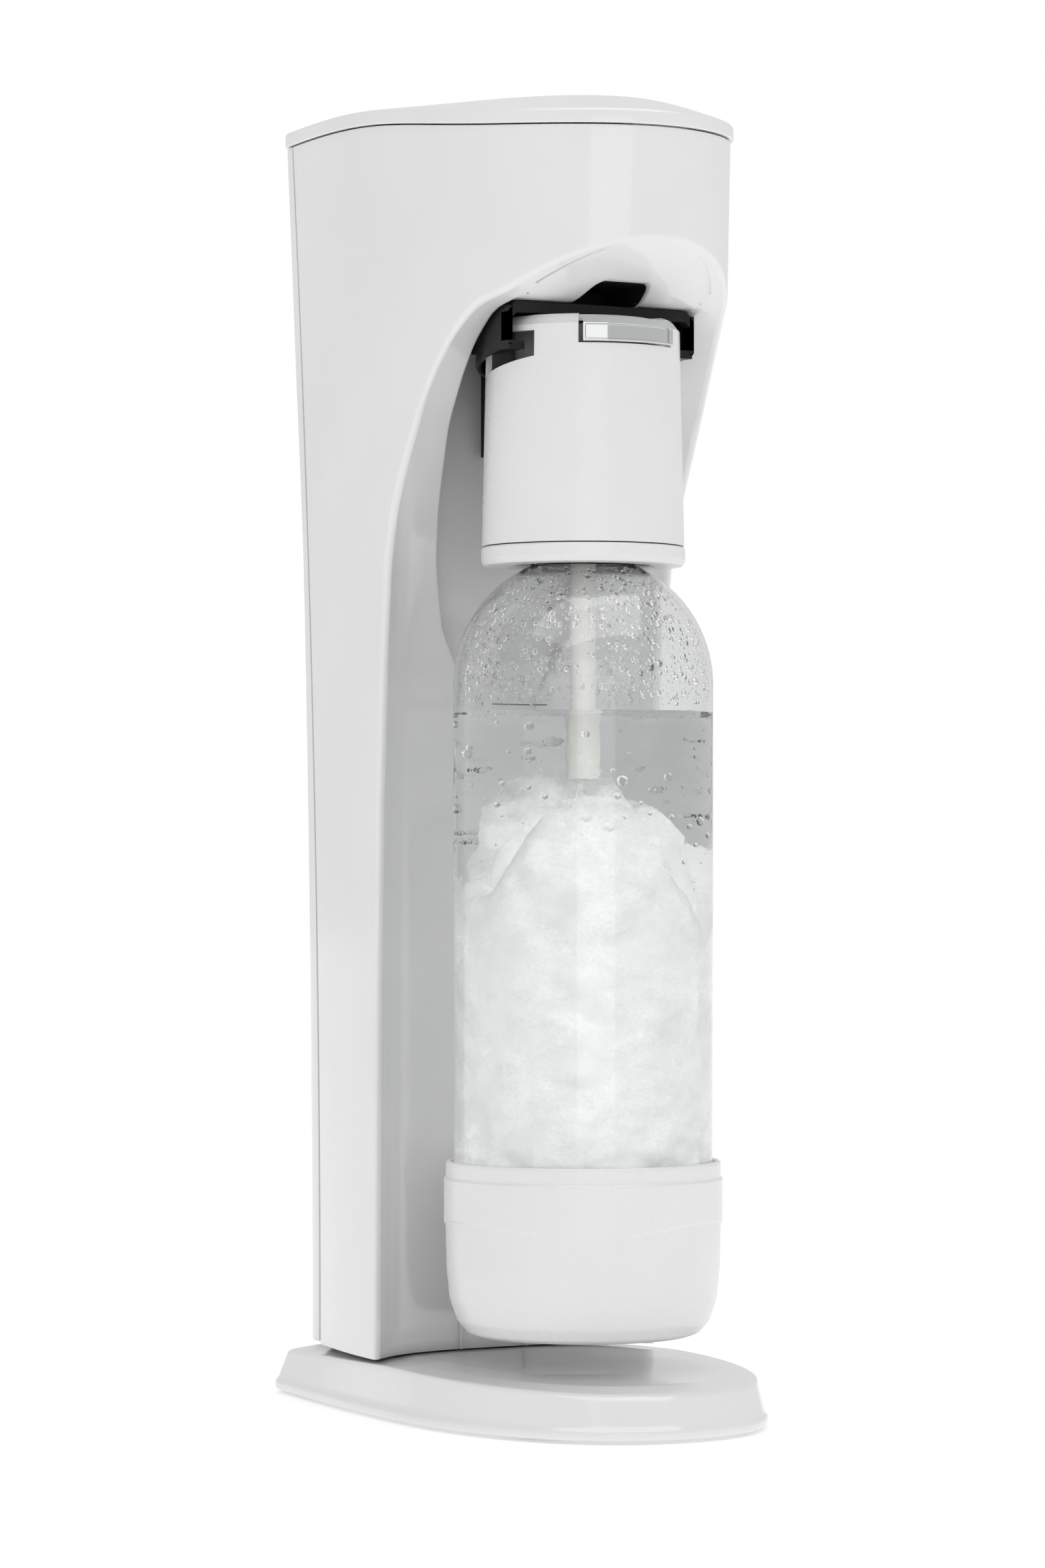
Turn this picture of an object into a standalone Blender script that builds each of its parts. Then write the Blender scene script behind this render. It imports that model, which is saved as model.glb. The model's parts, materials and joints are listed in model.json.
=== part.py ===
"""Counter-top soda carbonator with a clip-in infuser, carbonating bottle and gas cylinder.

Metres, +Z up, the machine faces -Y.  The origin is the centre of the base's footprint,
on the surface that the feet stand on.  Plan points are given as (forward, across): the
distance in front of the bottle's axis, and the distance to the side of it.
"""
import math

import bmesh
import bpy
from mathutils import Vector

# ---------------------------------------------------------------- driving dimensions
GAP = 0.0003                 # clearance between touching pieces
WALL = 0.0024                # moulded wall thickness of the casings
FASCIA_WALL = 0.0022
BAY_WALL = 0.0018            # wall round the bay that the infuser slides into
BOTTLE_Y = -0.0355           # the bottle's axis, in front of the base's centre
CYLINDER_F = -0.0935         # the gas cylinder's axis, behind the bottle's axis

BASE_BOTTOM = 0.0010
BASE_TOP = 0.0180
FOOT_R = 0.0064
FOOT_HEIGHT = 0.0023
SEAM_MIDDLE = 0.4210         # height of the top seam halfway along its climb to the back
SEAM_RISE = 0.0055           # how far it climbs and falls from there
NOSE_F = 0.0520              # front of the head at the seam
CROWN_Z = 0.4312             # top cover's height beside the button
CROWN_SLOPE = 0.04           # the cover's top climbs towards the back
BUTTON_F = -0.0270
BUTTON_R = 0.0280
BUTTON_TOP = 0.4328
BUTTON_TRAVEL = 0.0060
WELL_FLOOR = 0.4192          # floor of the well that the button sinks into

BOTTLE_R = 0.0425
DOME_Z = 0.2400              # centre of the bottle's round shoulder
MOUTH_Z = 0.3010
CUP_BOTTOM = 0.0280
CUP_TOP = 0.0850

SLEEVE_TOP = 0.3586
SLEEVE_BOTTOM = 0.2851
RING_BOTTOM = 0.2786
POCKET_TOP = 0.3632          # ceiling of the bay that the infuser slides into
POCKET_BACK = -0.0570
GROOVE_FRONT = 0.0158       # where the grooves in the infuser's flanks start
CARRIAGE_FRONT = 0.0122     # the carriage's front edge, half-width, wall and top
CARRIAGE_HALF = 0.0352
CARRIAGE_WALL = 0.0016
CARRIAGE_TOP = 0.3629
PORT_Z = 0.3360              # height of the gas port behind the infuser

CYLINDER_R = 0.0300
CYLINDER_BOTTOM = 0.0220
VALVE_TOP = 0.3720
BLOCK_BOTTOM = 0.3800
BLOCK_TOP = 0.4020
LEVER_PIVOT_F = -0.1070
LEVER_PIVOT_Z = 0.4075
LEVER_HALF_DEPTH = 0.0025

SEGMENTS = 32                # facets round a large turned part


# ---------------------------------------------------------------- scene and materials
def clear_scene():
    for old in list(bpy.data.objects):
        bpy.data.objects.remove(old, do_unlink=True)


def new_collection(name):
    group = bpy.data.collections.new(name)
    bpy.context.scene.collection.children.link(group)
    return group


clear_scene()
PARTS = new_collection("soda_carbonator")
CUTTERS = new_collection("cutters")


def material(name, color, roughness, metallic=0.0, alpha=1.0):
    made = bpy.data.materials.new(name)
    made.use_nodes = True
    shader = made.node_tree.nodes["Principled BSDF"]
    shader.inputs["Base Color"].default_value = (*color, 1.0)
    shader.inputs["Roughness"].default_value = roughness
    shader.inputs["Metallic"].default_value = metallic
    shader.inputs["Alpha"].default_value = alpha
    made.diffuse_color = (*color, alpha)
    return made


def finish(obj, color, roughness, metallic=0.0, alpha=1.0):
    obj.data.materials.clear()
    obj.data.materials.append(material(obj.name, color, roughness, metallic, alpha))
    return obj


def white(obj):
    return finish(obj, (0.86, 0.86, 0.87), 0.12)


def black(obj):
    return finish(obj, (0.02, 0.02, 0.022), 0.35)


def rubber(obj):
    return finish(obj, (0.03, 0.03, 0.03), 0.8)


def brass(obj):
    return finish(obj, (0.72, 0.55, 0.28), 0.3, metallic=1.0)


def steel(obj):
    return finish(obj, (0.6, 0.6, 0.62), 0.28, metallic=1.0)


# ---------------------------------------------------------------- placing and joining
def at(forward, across, z):
    """A point from its plan distances to the bottle's axis."""
    return Vector((across, BOTTLE_Y - forward, z))


def add_object(name, mesh, cutter=False):
    obj = bpy.data.objects.new(name, mesh)
    (CUTTERS if cutter else PARTS).objects.link(obj)
    if cutter:
        obj.hide_render = True
        obj.display_type = "WIRE"
    return obj


def mesh_from(name, bm):
    bm.normal_update()
    bmesh.ops.recalc_face_normals(bm, faces=bm.faces)
    mesh = bpy.data.meshes.new(name)
    bm.to_mesh(mesh)
    bm.free()
    return mesh


def boolean(target, other, operation):
    mod = target.modifiers.new(operation.lower(), "BOOLEAN")
    mod.operation = operation
    mod.solver = "EXACT"
    mod.object = other
    return target


def cut(target, *others):
    for other in others:
        boolean(target, other, "DIFFERENCE")
    return target


def join(target, *others):
    for other in others:
        boolean(target, other, "UNION")
    return target


def smooth(obj, angle=math.radians(35)):
    obj.data.shade_smooth()
    obj.data.set_sharp_from_angle(angle=angle)
    return obj


# ---------------------------------------------------------------- basic solids
def box(name, low, high, cutter=False):
    """A box between two corners, each (forward, across, z)."""
    bm = bmesh.new()
    bmesh.ops.create_cube(bm, size=1.0)
    a, b = at(*low), at(*high)
    for vert in bm.verts:
        vert.co = Vector((a[i] + (b[i] - a[i]) * (vert.co[i] + 0.5) for i in range(3)))
    return add_object(name, mesh_from(name, bm), cutter)


def cylinder(name, radius, start, end, cutter=False, sides=24):
    """A round bar from one (forward, across, z) point to another."""
    a, b = at(*start), at(*end)
    bm = bmesh.new()
    bmesh.ops.create_cone(bm, cap_ends=True, segments=sides, radius1=radius,
                          radius2=radius, depth=(b - a).length)
    turn = (b - a).to_track_quat("Z", "Y").to_matrix().to_4x4()
    turn.translation = (a + b) / 2
    bm.transform(turn)
    return smooth(add_object(name, mesh_from(name, bm), cutter))


def turned(name, profile, forward=0.0, sides=SEGMENTS, cutter=False, ring=True):
    """A turned part on a vertical axis; the (radius, z) profile runs down its outer side."""
    bm = bmesh.new()
    verts = [bm.verts.new((r, 0.0, z)) for r, z in profile]
    for a, b in zip(verts, verts[1:] + (verts[:1] if ring else [])):
        if a.co.x > 0 or b.co.x > 0:           # no edge along the axis itself
            bm.edges.new((a, b))
    mesh = bpy.data.meshes.new(name)
    bm.to_mesh(mesh)
    bm.free()
    obj = add_object(name, mesh, cutter)
    obj.location = at(forward, 0.0, 0.0)
    mod = obj.modifiers.new("turn", "SCREW")
    mod.steps = mod.render_steps = sides
    mod.use_merge_vertices = True
    mod.merge_threshold = 0.00002
    mod.use_smooth_shade = True
    return obj


def side_prism(name, profile, half, cutter=False, near=None):
    """A (forward, z) outline pushed across the machine, from -half (or near) to +half."""
    bm = bmesh.new()
    start = -half if near is None else near
    ends = [[bm.verts.new(at(f, side, z)) for f, z in profile] for side in (start, half)]
    bm.faces.new(ends[0])
    bm.faces.new(ends[1])
    for i in range(len(profile)):
        j = (i + 1) % len(profile)
        bm.faces.new((ends[0][i], ends[0][j], ends[1][j], ends[1][i]))
    return add_object(name, mesh_from(name, bm), cutter)


def front_prism(name, outline, back, front, cutter=False):
    """An (across, z) outline pushed forwards, from the back distance to the front one."""
    bm = bmesh.new()
    ends = [[bm.verts.new(at(f, s, z)) for s, z in outline] for f in (back, front)]
    bm.faces.new(ends[0])
    bm.faces.new(ends[1])
    for i in range(len(outline)):
        j = (i + 1) % len(outline)
        bm.faces.new((ends[0][i], ends[0][j], ends[1][j], ends[1][i]))
    return add_object(name, mesh_from(name, bm), cutter)


def loft(name, rings, cutter=False):
    """A closed solid through rings of (forward, across, z) points, lowest ring first."""
    bm = bmesh.new()
    rows = [[bm.verts.new(at(*point)) for point in ring] for ring in rings]
    count = len(rows[0])
    bm.faces.new(rows[0])
    bm.faces.new(rows[-1])
    for low, high in zip(rows, rows[1:]):
        for i in range(count):
            j = (i + 1) % count
            bm.faces.new((low[i], low[j], high[j], high[i]))
    return smooth(add_object(name, mesh_from(name, bm), cutter))


def as_mesh(curve_object):
    """The mesh of a curve object, with its caps welded on."""
    source = curve_object.evaluated_get(bpy.context.evaluated_depsgraph_get())
    mesh = bpy.data.meshes.new_from_object(source)
    bm = bmesh.new()
    bm.from_mesh(mesh)
    bmesh.ops.remove_doubles(bm, verts=bm.verts, dist=0.00001)
    bm.to_mesh(mesh)
    bm.free()
    name = curve_object.name
    bpy.data.objects.remove(curve_object, do_unlink=True)
    return add_object(name, mesh)


def wire(name, points, radius, resolution=2):
    """A round wire or tube through (forward, across, z) points."""
    data = bpy.data.curves.new(name, "CURVE")
    data.dimensions = "3D"
    data.bevel_depth = radius
    data.bevel_resolution = resolution
    data.use_fill_caps = True
    line = data.splines.new("POLY")
    line.points.add(len(points) - 1)
    for spot, point in zip(line.points, points):
        spot.co = (*at(*point), 1.0)
    obj = bpy.data.objects.new(name, data)
    PARTS.objects.link(obj)
    bpy.context.view_layer.update()
    return smooth(as_mesh(obj))


# ---------------------------------------------------------------- plan outlines
def plan(nose, middle, half, corner, corner_half, back, front_power, back_power):
    """A closed plan outline: a round nose, sides that draw in, and a bulging back."""
    side = []
    for i in range(10):                                    # nose to the widest place
        turn = math.pi / 2 * i / 9
        side.append((middle + (nose - middle) * math.cos(turn) ** (2 / front_power),
                     half * math.sin(turn) ** (2 / front_power)))
    for i in range(1, 5):                                  # along the side
        run = i / 4
        side.append((middle + (corner - middle) * run,
                     half - (half - corner_half) * run ** 1.7))
    for i in range(1, 7):                                  # round the back corner
        turn = math.pi / 2 * i / 6
        side.append((corner + (back - corner) * math.sin(turn) ** (2 / back_power),
                     corner_half * math.cos(turn) ** (2 / back_power)))
    side[0] = (nose, 0.0)
    side[-1] = (back, 0.0)
    return side + [(f, -s) for f, s in reversed(side[1:-1])]


def inset(outline, distance):
    """The outline moved inwards by a distance, square to its edges."""
    moved = []
    count = len(outline)
    for i, (f, s) in enumerate(outline):
        before, after = outline[i - 1], outline[(i + 1) % count]
        along = Vector((after[0] - before[0], after[1] - before[1])).normalized()
        moved.append((f - along.y * distance, s + along.x * distance))
    return moved


def flare(z):
    """How far the body has opened out at a height, from 0 at the foot to 1 at the top."""
    return (min(max(z, 0.02), 0.425) - 0.02) ** 2 / 0.405 ** 2


def body_plan(z):
    open_out = flare(z)
    return plan(nose=NOSE_F - 0.0089 * (1 - open_out), middle=-0.032,
                half=0.0546 + 0.0019 * open_out,
                corner=seam_forward(z), corner_half=0.045 + 0.005 * open_out,
                back=-0.127 - 0.007 * open_out, front_power=2.0, back_power=2.2)


def seam_forward(z):
    """Where the rear cover meets the body's sides."""
    return -0.099 - 0.011 * flare(z)


def seam_height(forward):
    """Height of the seam between the body and its top cover, which climbs to the back."""
    return SEAM_MIDDLE - SEAM_RISE * math.tanh((forward + 0.013) / 0.046)


BODY_LEVELS = (0.005, 0.080, 0.160, 0.230, 0.290, 0.330, 0.365, 0.395, 0.425, 0.445)


def body_solid(name, distance, cutter=True):
    """The body's outer form moved inwards, up to a flat top above the seam."""
    rings = [[(f, s, z) for f, s in inset(body_plan(z), distance)] for z in BODY_LEVELS]
    return loft(name, rings, cutter)


def seam_wedge(name, rise, far_z):
    """Everything from the top seam, raised a little, up or down to a level."""
    line = [(0.015 * i, seam_height(0.015 * i) + rise) for i in range(5, -11, -1)]
    return side_prism(name, line + [(line[-1][0], far_z), (line[0][0], far_z)], 0.09, cutter=True)


# ---------------------------------------------------------------- base
def base_rings(rise=0.0):
    """Rings of the base, from its underside over the flange and slope to the flat top."""
    rim = plan(nose=0.069, middle=-0.020, half=0.058, corner=-0.117, corner_half=0.050,
               back=-0.140, front_power=2.25, back_power=2.6)
    top = plan(nose=0.0625, middle=-0.020, half=0.055, corner=-0.112, corner_half=0.047,
               back=-0.1335, front_power=2.25, back_power=2.6)

    def edge_height(forward):
        return 0.0176 - 0.0028 * abs((forward + 0.030) / 0.092) ** 1.3

    def level(outline, z):
        return [(f, s, z + rise) for f, s in outline]

    def crowned(outline, share):
        return [(f, s, BASE_TOP - (BASE_TOP - edge_height(f)) * share + rise) for f, s in outline]

    return [level(inset(rim, 0.0008), BASE_BOTTOM), level(rim, 0.0018), level(rim, 0.0038),
            level(inset(rim, 0.0009), 0.0048), crowned(inset(top, -0.0008), 1.25),
            crowned(inset(top, 0.0006), 1.0), crowned(inset(top, 0.012), 0.45),
            crowned(inset(top, 0.026), 0.1), level(inset(top, 0.036), BASE_TOP)]


FEET = {"foot_front_left": (0.030, -0.032), "foot_front_right": (0.030, 0.032),
        "foot_rear_left": (-0.112, -0.034), "foot_rear_right": (-0.112, 0.034)}


def make_base():
    base = white(loft("base_plate", base_rings()))
    for name, (forward, across) in FEET.items():
        cut(base, cylinder(name + "_socket", FOOT_R + 0.0004, (forward, across, -0.001),
                           (forward, across, FOOT_HEIGHT + GAP), cutter=True))
        rubber(cylinder(name, FOOT_R, (forward, across, 0.0), (forward, across, FOOT_HEIGHT)))
    return loft("base_clearance", base_rings(rise=GAP), cutter=True)


# ---------------------------------------------------------------- front cut
# (forward, z) of the body's front edge at its sides, and of the same line nearer the middle
OUTER_LINE = ((-0.0420, 0.005), (-0.0418, 0.070), (-0.0407, 0.140), (-0.0390, 0.203),
              (-0.0360, 0.250), (-0.0330, 0.280), (-0.0285, 0.297), (-0.0222, 0.3106),
              (-0.0105, 0.3322), (-0.0037, 0.3415), (0.0055, 0.3515), (0.0162, 0.3601),
              (0.0251, 0.3659), (0.0362, 0.3716), (0.0487, 0.3800), (0.0640, 0.3905))
INNER_LINE = ((-0.0547, 0.005), (-0.0544, 0.070), (-0.0532, 0.140), (-0.0510, 0.203),
              (-0.0475, 0.250), (-0.0440, 0.280), (-0.0380, 0.298), (-0.0315, 0.311),
              (-0.0235, 0.328), (-0.0150, 0.341), (-0.0070, 0.351), (0.0050, 0.360),
              (0.0190, 0.3632), (0.0340, 0.3715), (0.0500, 0.3810), (0.0640, 0.3905))
OUTER_HALF = 0.054
INNER_HALF = 0.036


def face_line(across):
    """The front face's (forward, z) line at a distance across the machine."""
    side = min(abs(across) / OUTER_HALF, 1.0)
    share = (1 - side ** 3) / (1 - (INNER_HALF / OUTER_HALF) ** 3)
    return [(a[0] + (b[0] - a[0]) * share, a[1] + (b[1] - a[1]) * min(share, 1.0))
            for a, b in zip(OUTER_LINE, INNER_LINE)]


STATIONS = (-0.062, -0.054, -0.048, -0.042, -0.036, -0.024, -0.012, 0.0,
            0.012, 0.024, 0.036, 0.042, 0.048, 0.054, 0.062)


def front_void(name, back=0.0):
    """Everything in front of the face, or of a face that lies further back, as a cutter."""
    rings = []
    for across in STATIONS:
        line = [(f - back, across, z) for f, z in face_line(across)]
        rings.append(line + [(0.130, across, 0.3905), (0.130, across, 0.005)])
    return loft(name, rings, cutter=True)


def pocket_outline(grow=0.0):
    """The infuser bay's (across, z) outline: round below, and square at the ceiling."""
    side = [(0.036, 0.3400), (0.0355, 0.3240), (0.0335, 0.3080), (0.0295, 0.2850),
            (0.0245, 0.2600), (0.0150, 0.2440)]
    half = [(0.036 + grow, POCKET_TOP + grow)] + [(s + grow, z - grow * 0.4) for s, z in side]
    return half + [(-s, z) for s, z in reversed(half)]


def notch_outline():
    """The window over the release lever: wider at its foot."""
    return [(0.0124, 0.3600), (0.0098, 0.3690), (-0.0098, 0.3690), (-0.0124, 0.3600)]


def make_fascia(base_clearance):
    """The white front: its concave face and the bay that the infuser slides into."""
    bm = bmesh.new()
    rows = [[bm.verts.new(at(f, s, z)) for f, z in face_line(s)] for s in STATIONS]
    for left, right in zip(rows, rows[1:]):
        for i in range(len(left) - 1):
            bm.faces.new((left[i], left[i + 1], right[i + 1], right[i]))
    mesh = bpy.data.meshes.new("front_fascia")
    bm.to_mesh(mesh)
    bm.free()
    fascia = add_object("front_fascia", mesh)
    thick = fascia.modifiers.new("thickness", "SOLIDIFY")
    thick.thickness = FASCIA_WALL
    thick.offset = 1.0
    walls = front_prism("bay_walls", pocket_outline(grow=BAY_WALL), POCKET_BACK - BAY_WALL,
                        0.0300, cutter=True)
    join(fascia, cut(walls, front_void("before_walls", back=FASCIA_WALL / 2)))
    boolean(fascia, body_solid("fascia_envelope", WALL + GAP), "INTERSECT")
    cut(fascia, front_prism("bay_space", pocket_outline(), POCKET_BACK, 0.0800, cutter=True),
        front_prism("lever_window", notch_outline(), 0.0150, 0.0800, cutter=True),
        cylinder("port_way", 0.0034, (POCKET_BACK - 0.004, 0, PORT_Z),
                 (POCKET_BACK + 0.001, 0, PORT_Z), cutter=True),
        base_clearance)
    return white(smooth(fascia))


# ---------------------------------------------------------------- casings
def seam_prism(name, shift, behind):
    """Everything behind (or in front of) the rear cover's seam line, moved by a shift."""
    line = [(seam_forward(z) + shift, z) for z in (0.0, 0.08, 0.16, 0.23, 0.29, 0.35, 0.40, 0.46)]
    far = -0.2 if behind else 0.2
    return side_prism(name, line + [(far, 0.46), (far, 0.0)], 0.09, cutter=True)


def make_body(base_clearance):
    shell = body_solid("body_shell", 0.0, cutter=False)
    cut(shell, body_solid("body_hollow", WALL), seam_wedge("above_body", 0.0, 0.46),
        front_void("front_void"), seam_prism("behind_seam", 0.0, behind=True), base_clearance)
    return white(shell)


def make_rear_cover():
    """The cover behind the cylinder, which hooks in at its foot and tilts back."""
    cover = body_solid("rear_cover", 0.0, cutter=False)
    low_edge = box("under_cover", (0.1, -0.09, -0.01), (-0.2, 0.09, BASE_TOP + 0.0013), cutter=True)
    cut(cover, body_solid("cover_hollow", WALL), seam_wedge("above_cover", 0.0, 0.46),
        seam_prism("before_seam", -0.0005, behind=False), low_edge)
    return white(cover)


def crown_height(forward):
    """Height of the top cover's flat middle, which climbs to the back."""
    return CROWN_Z + CROWN_SLOPE * (BUTTON_F - forward)


def cover_rings(drop, spread, bottom):
    """Rings of the top cover, from a flat level over its rounded rim to the crown."""
    edge = body_plan(0.420)

    def wall(z_of):
        return [(f, s, z_of(f)) for f, s in inset(edge, spread - 0.0009)]

    def crown(distance, share):
        ring = []
        for f, s in inset(edge, distance + spread):
            low = seam_height(f) + 0.0052
            ring.append((f, s, low + (crown_height(f) - low) * share - drop))
        return ring

    return [wall(lambda f: bottom), wall(lambda f: seam_height(f) + 0.0040 - drop),
            crown(0.0004, 0.0), crown(0.0040, 0.20), crown(0.0110, 0.50), crown(0.0190, 0.78),
            crown(0.0255, 1.0)]


def make_top_cover():
    """The cover over the head, with the well that the button sinks into."""
    def well(name):
        return cylinder(name, BUTTON_R + WALL, (BUTTON_F, 0, WELL_FLOOR - 0.0022),
                        (BUTTON_F, 0, 0.460), cutter=True, sides=SEGMENTS)

    cover = loft("top_cover", cover_rings(0.0, 0.0, 0.405))
    space = loft("cover_space", cover_rings(WALL, WALL, 0.400), cutter=True)
    cut(cover, cut(space, well("well_in_space")),
        cut(seam_wedge("below_top_cover", 0.0004, 0.39), well("well_in_wedge")),
        cylinder("well_space", BUTTON_R + 0.0006, (BUTTON_F, 0, WELL_FLOOR),
                 (BUTTON_F, 0, 0.460), cutter=True, sides=SEGMENTS),
        cylinder("stem_hole", 0.0056, (BUTTON_F, 0, 0.410), (BUTTON_F, 0, 0.425), cutter=True))
    return white(cover)


# ---------------------------------------------------------------- carbonating button
def make_button():
    top, rim = BUTTON_TOP, BUTTON_R
    skirt = WELL_FLOOR + BUTTON_TRAVEL + 0.0016       # clear of the well's floor when pressed
    foot = LEVER_PIVOT_Z + LEVER_HALF_DEPTH + GAP     # the stem stops just over the lever
    button = turned("carbonating_button",
                    [(0.0, top), (rim * 0.7, top - 0.0002), (rim - 0.0012, top - 0.0007),
                     (rim, top - 0.0018), (rim, skirt), (rim - 0.002, skirt),
                     (rim - 0.002, top - 0.0040), (0.005, top - 0.0045), (0.005, foot + 0.0022),
                     (0.003, foot), (0.0, foot)], forward=BUTTON_F, ring=False)
    white(button)
    turns, steps, radius = 3, 14, 0.0088
    low, high = WELL_FLOOR + 0.0008, top - 0.0054
    coil = []
    for i in range(turns * steps + 1):
        angle = 2 * math.pi * i / steps
        coil.append((BUTTON_F + radius * math.cos(angle), radius * math.sin(angle),
                     low + (high - low) * i / (turns * steps)))
    steel(wire("button_spring", coil, 0.0006))


def make_lever():
    """The lever under the button, its pivot pin and the pin that opens the gas valve."""
    low, high = LEVER_PIVOT_Z - LEVER_HALF_DEPTH, LEVER_PIVOT_Z + LEVER_HALF_DEPTH
    lever = box("press_lever", (-0.1115, -0.0079, low), (-0.0195, 0.0079, high))
    cut(lever, cylinder("lever_bore", 0.0023, (LEVER_PIVOT_F, -0.02, LEVER_PIVOT_Z),
                        (LEVER_PIVOT_F, 0.02, LEVER_PIVOT_Z), cutter=True))
    steel(lever)
    steel(cylinder("lever_pivot_pin", 0.0020, (LEVER_PIVOT_F, -0.0118, LEVER_PIVOT_Z),
                   (LEVER_PIVOT_F, 0.0118, LEVER_PIVOT_Z), sides=16))
    steel(cylinder("valve_pin", 0.0020, (CYLINDER_F, 0, VALVE_TOP - 0.0005),
                   (CYLINDER_F, 0, 0.4046), sides=16))


# ---------------------------------------------------------------- gas supply
def make_valve_block():
    block = box("valve_block", (-0.1120, -0.0160, BLOCK_BOTTOM), (-0.0746, 0.0160, BLOCK_TOP))
    for side in (-1, 1):
        ear = box("ear_left" if side < 0 else "ear_right",
                  (-0.1112, side * 0.0083, BLOCK_TOP - 0.001),
                  (-0.1030, side * 0.0113, LEVER_PIVOT_Z + 0.0042), cutter=True)
        join(block, ear)
    join(block, cylinder("spigot", 0.0120, (CYLINDER_F, 0, VALVE_TOP + 0.0026),
                         (CYLINDER_F, 0, BLOCK_BOTTOM + 0.001), cutter=True))
    cut(block, cylinder("pin_way", 0.0024, (CYLINDER_F, 0, 0.36), (CYLINDER_F, 0, 0.42), cutter=True),
        cylinder("ear_bore", 0.0023, (LEVER_PIVOT_F, -0.02, LEVER_PIVOT_Z),
                 (LEVER_PIVOT_F, 0.02, LEVER_PIVOT_Z), cutter=True))
    finish(block, (0.55, 0.55, 0.56), 0.45, metallic=1.0)
    brass(cylinder("safety_valve", 0.0048, (CYLINDER_F, 0.0163, 0.391),
                   (CYLINDER_F, 0.0290, 0.391), sides=6))
    rubber(turned("valve_gasket", [(0.0095, VALVE_TOP + 0.0023), (0.0095, VALVE_TOP + 0.0003),
                                   (0.0040, VALVE_TOP + 0.0003), (0.0040, VALVE_TOP + 0.0023)],
                  forward=CYLINDER_F, sides=24))
    black(turned("cylinder_collar", [(0.0190, 0.3763), (0.0190, 0.3620), (0.0122, 0.3620),
                                     (0.0122, 0.3763)], forward=CYLINDER_F, sides=24))


def make_cylinder():
    """The gas cylinder and its brass valve."""
    low = CYLINDER_BOTTOM
    tank = turned("gas_cylinder",
                  [(0.0085, 0.3330), (0.0125, 0.3330), (0.0130, 0.3270), (0.0215, 0.3170),
                   (0.0275, 0.3050), (CYLINDER_R, 0.2900), (CYLINDER_R, low + 0.006),
                   (0.0270, low), (0.0, low), (0.0, low + 0.004), (0.0255, low + 0.006),
                   (0.0275, low + 0.010), (0.0275, 0.2890), (0.0190, 0.3140), (0.0085, 0.3240)],
                  forward=CYLINDER_F)
    finish(tank, (0.62, 0.64, 0.66), 0.35, metallic=0.9)
    brass(turned("cylinder_valve",
                 [(0.0026, VALVE_TOP), (0.0112, VALVE_TOP), (0.0112, 0.3560), (0.0150, 0.3550),
                  (0.0150, 0.3400), (0.0118, 0.3380), (0.0118, 0.3334), (0.0081, 0.3334),
                  (0.0081, 0.3250), (0.0, 0.3250), (0.0, 0.3660), (0.0026, 0.3660)],
                 forward=CYLINDER_F, sides=24))
    rubber(turned("cylinder_pad", [(0.0, 0.0217), (0.0260, 0.0217), (0.0270, 0.0205),
                                   (0.0270, 0.0184), (0.0, 0.0184)],
                  forward=CYLINDER_F, sides=24, ring=False))


def make_chassis():
    """The inner frame: two legs on the base and the bridge that carries the valve block."""
    outline = [(0.0355, 0.0186), (0.0355, BLOCK_BOTTOM - 0.0003), (-0.0355, BLOCK_BOTTOM - 0.0003),
               (-0.0355, 0.0186), (-0.0330, 0.0186), (-0.0330, BLOCK_BOTTOM - 0.0033),
               (0.0330, BLOCK_BOTTOM - 0.0033), (0.0330, 0.0186)]
    chassis = front_prism("chassis", outline, -0.1060, -0.0780)
    cut(chassis, cylinder("spigot_way", 0.0124, (CYLINDER_F, 0, 0.36), (CYLINDER_F, 0, 0.39),
                          cutter=True))
    return finish(chassis, (0.2, 0.2, 0.21), 0.5)


def make_gas_line():
    """The tube from the valve block down to the port behind the infuser."""
    route = [(-0.0743, 0.391), (-0.0712, 0.3908), (-0.0688, 0.3894), (-0.0674, 0.3868),
             (-0.0670, 0.3830), (-0.0670, 0.3700), (-0.0670, 0.3560), (-0.0670, 0.3430),
             (-0.0667, 0.3396), (-0.0655, 0.3372), (-0.0640, 0.3362), (-0.0625, PORT_Z)]
    finish(wire("gas_tube", [(f, 0.0, z) for f, z in route], 0.0019), (0.85, 0.85, 0.82), 0.3)
    port = cylinder("gas_port", 0.0029, (-0.0622, 0, PORT_Z), (-0.0262, 0, PORT_Z), sides=20)
    cut(port, cylinder("port_bore", 0.0011, (-0.07, 0, PORT_Z), (-0.02, 0, PORT_Z), cutter=True,
                       sides=12))
    brass(port)


# ---------------------------------------------------------------- carriage
def collar_outline():
    """The carriage's plan: two straight sides and a half ring behind the infuser."""
    outer, inner = CARRIAGE_HALF, CARRIAGE_HALF - CARRIAGE_WALL
    turns = [math.radians(90 + 180 * i / 20) for i in range(21)]
    outline = [(CARRIAGE_FRONT, outer)]
    outline += [(outer * math.cos(t), outer * math.sin(t)) for t in turns]
    outline += [(CARRIAGE_FRONT, -outer), (CARRIAGE_FRONT, -inner)]
    outline += [(inner * math.cos(t), inner * math.sin(t)) for t in reversed(turns)]
    return outline + [(CARRIAGE_FRONT, inner)]


def rim_height(f):
    """The sloping lower rim of the carriage's collar."""
    return 0.3484 - 0.17 * (CARRIAGE_FRONT - f)


def ceiling_outline(low):
    """The carriage's ceiling plate across the machine, with chamfered upper corners."""
    half, top = CARRIAGE_HALF, CARRIAGE_TOP
    shoulder = max(low + 0.0001, top - 0.0036)
    return [(-half, low), (half, low), (half, shoulder), (half - 0.0030, top),
            (-half + 0.0030, top), (-half, shoulder)]


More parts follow.
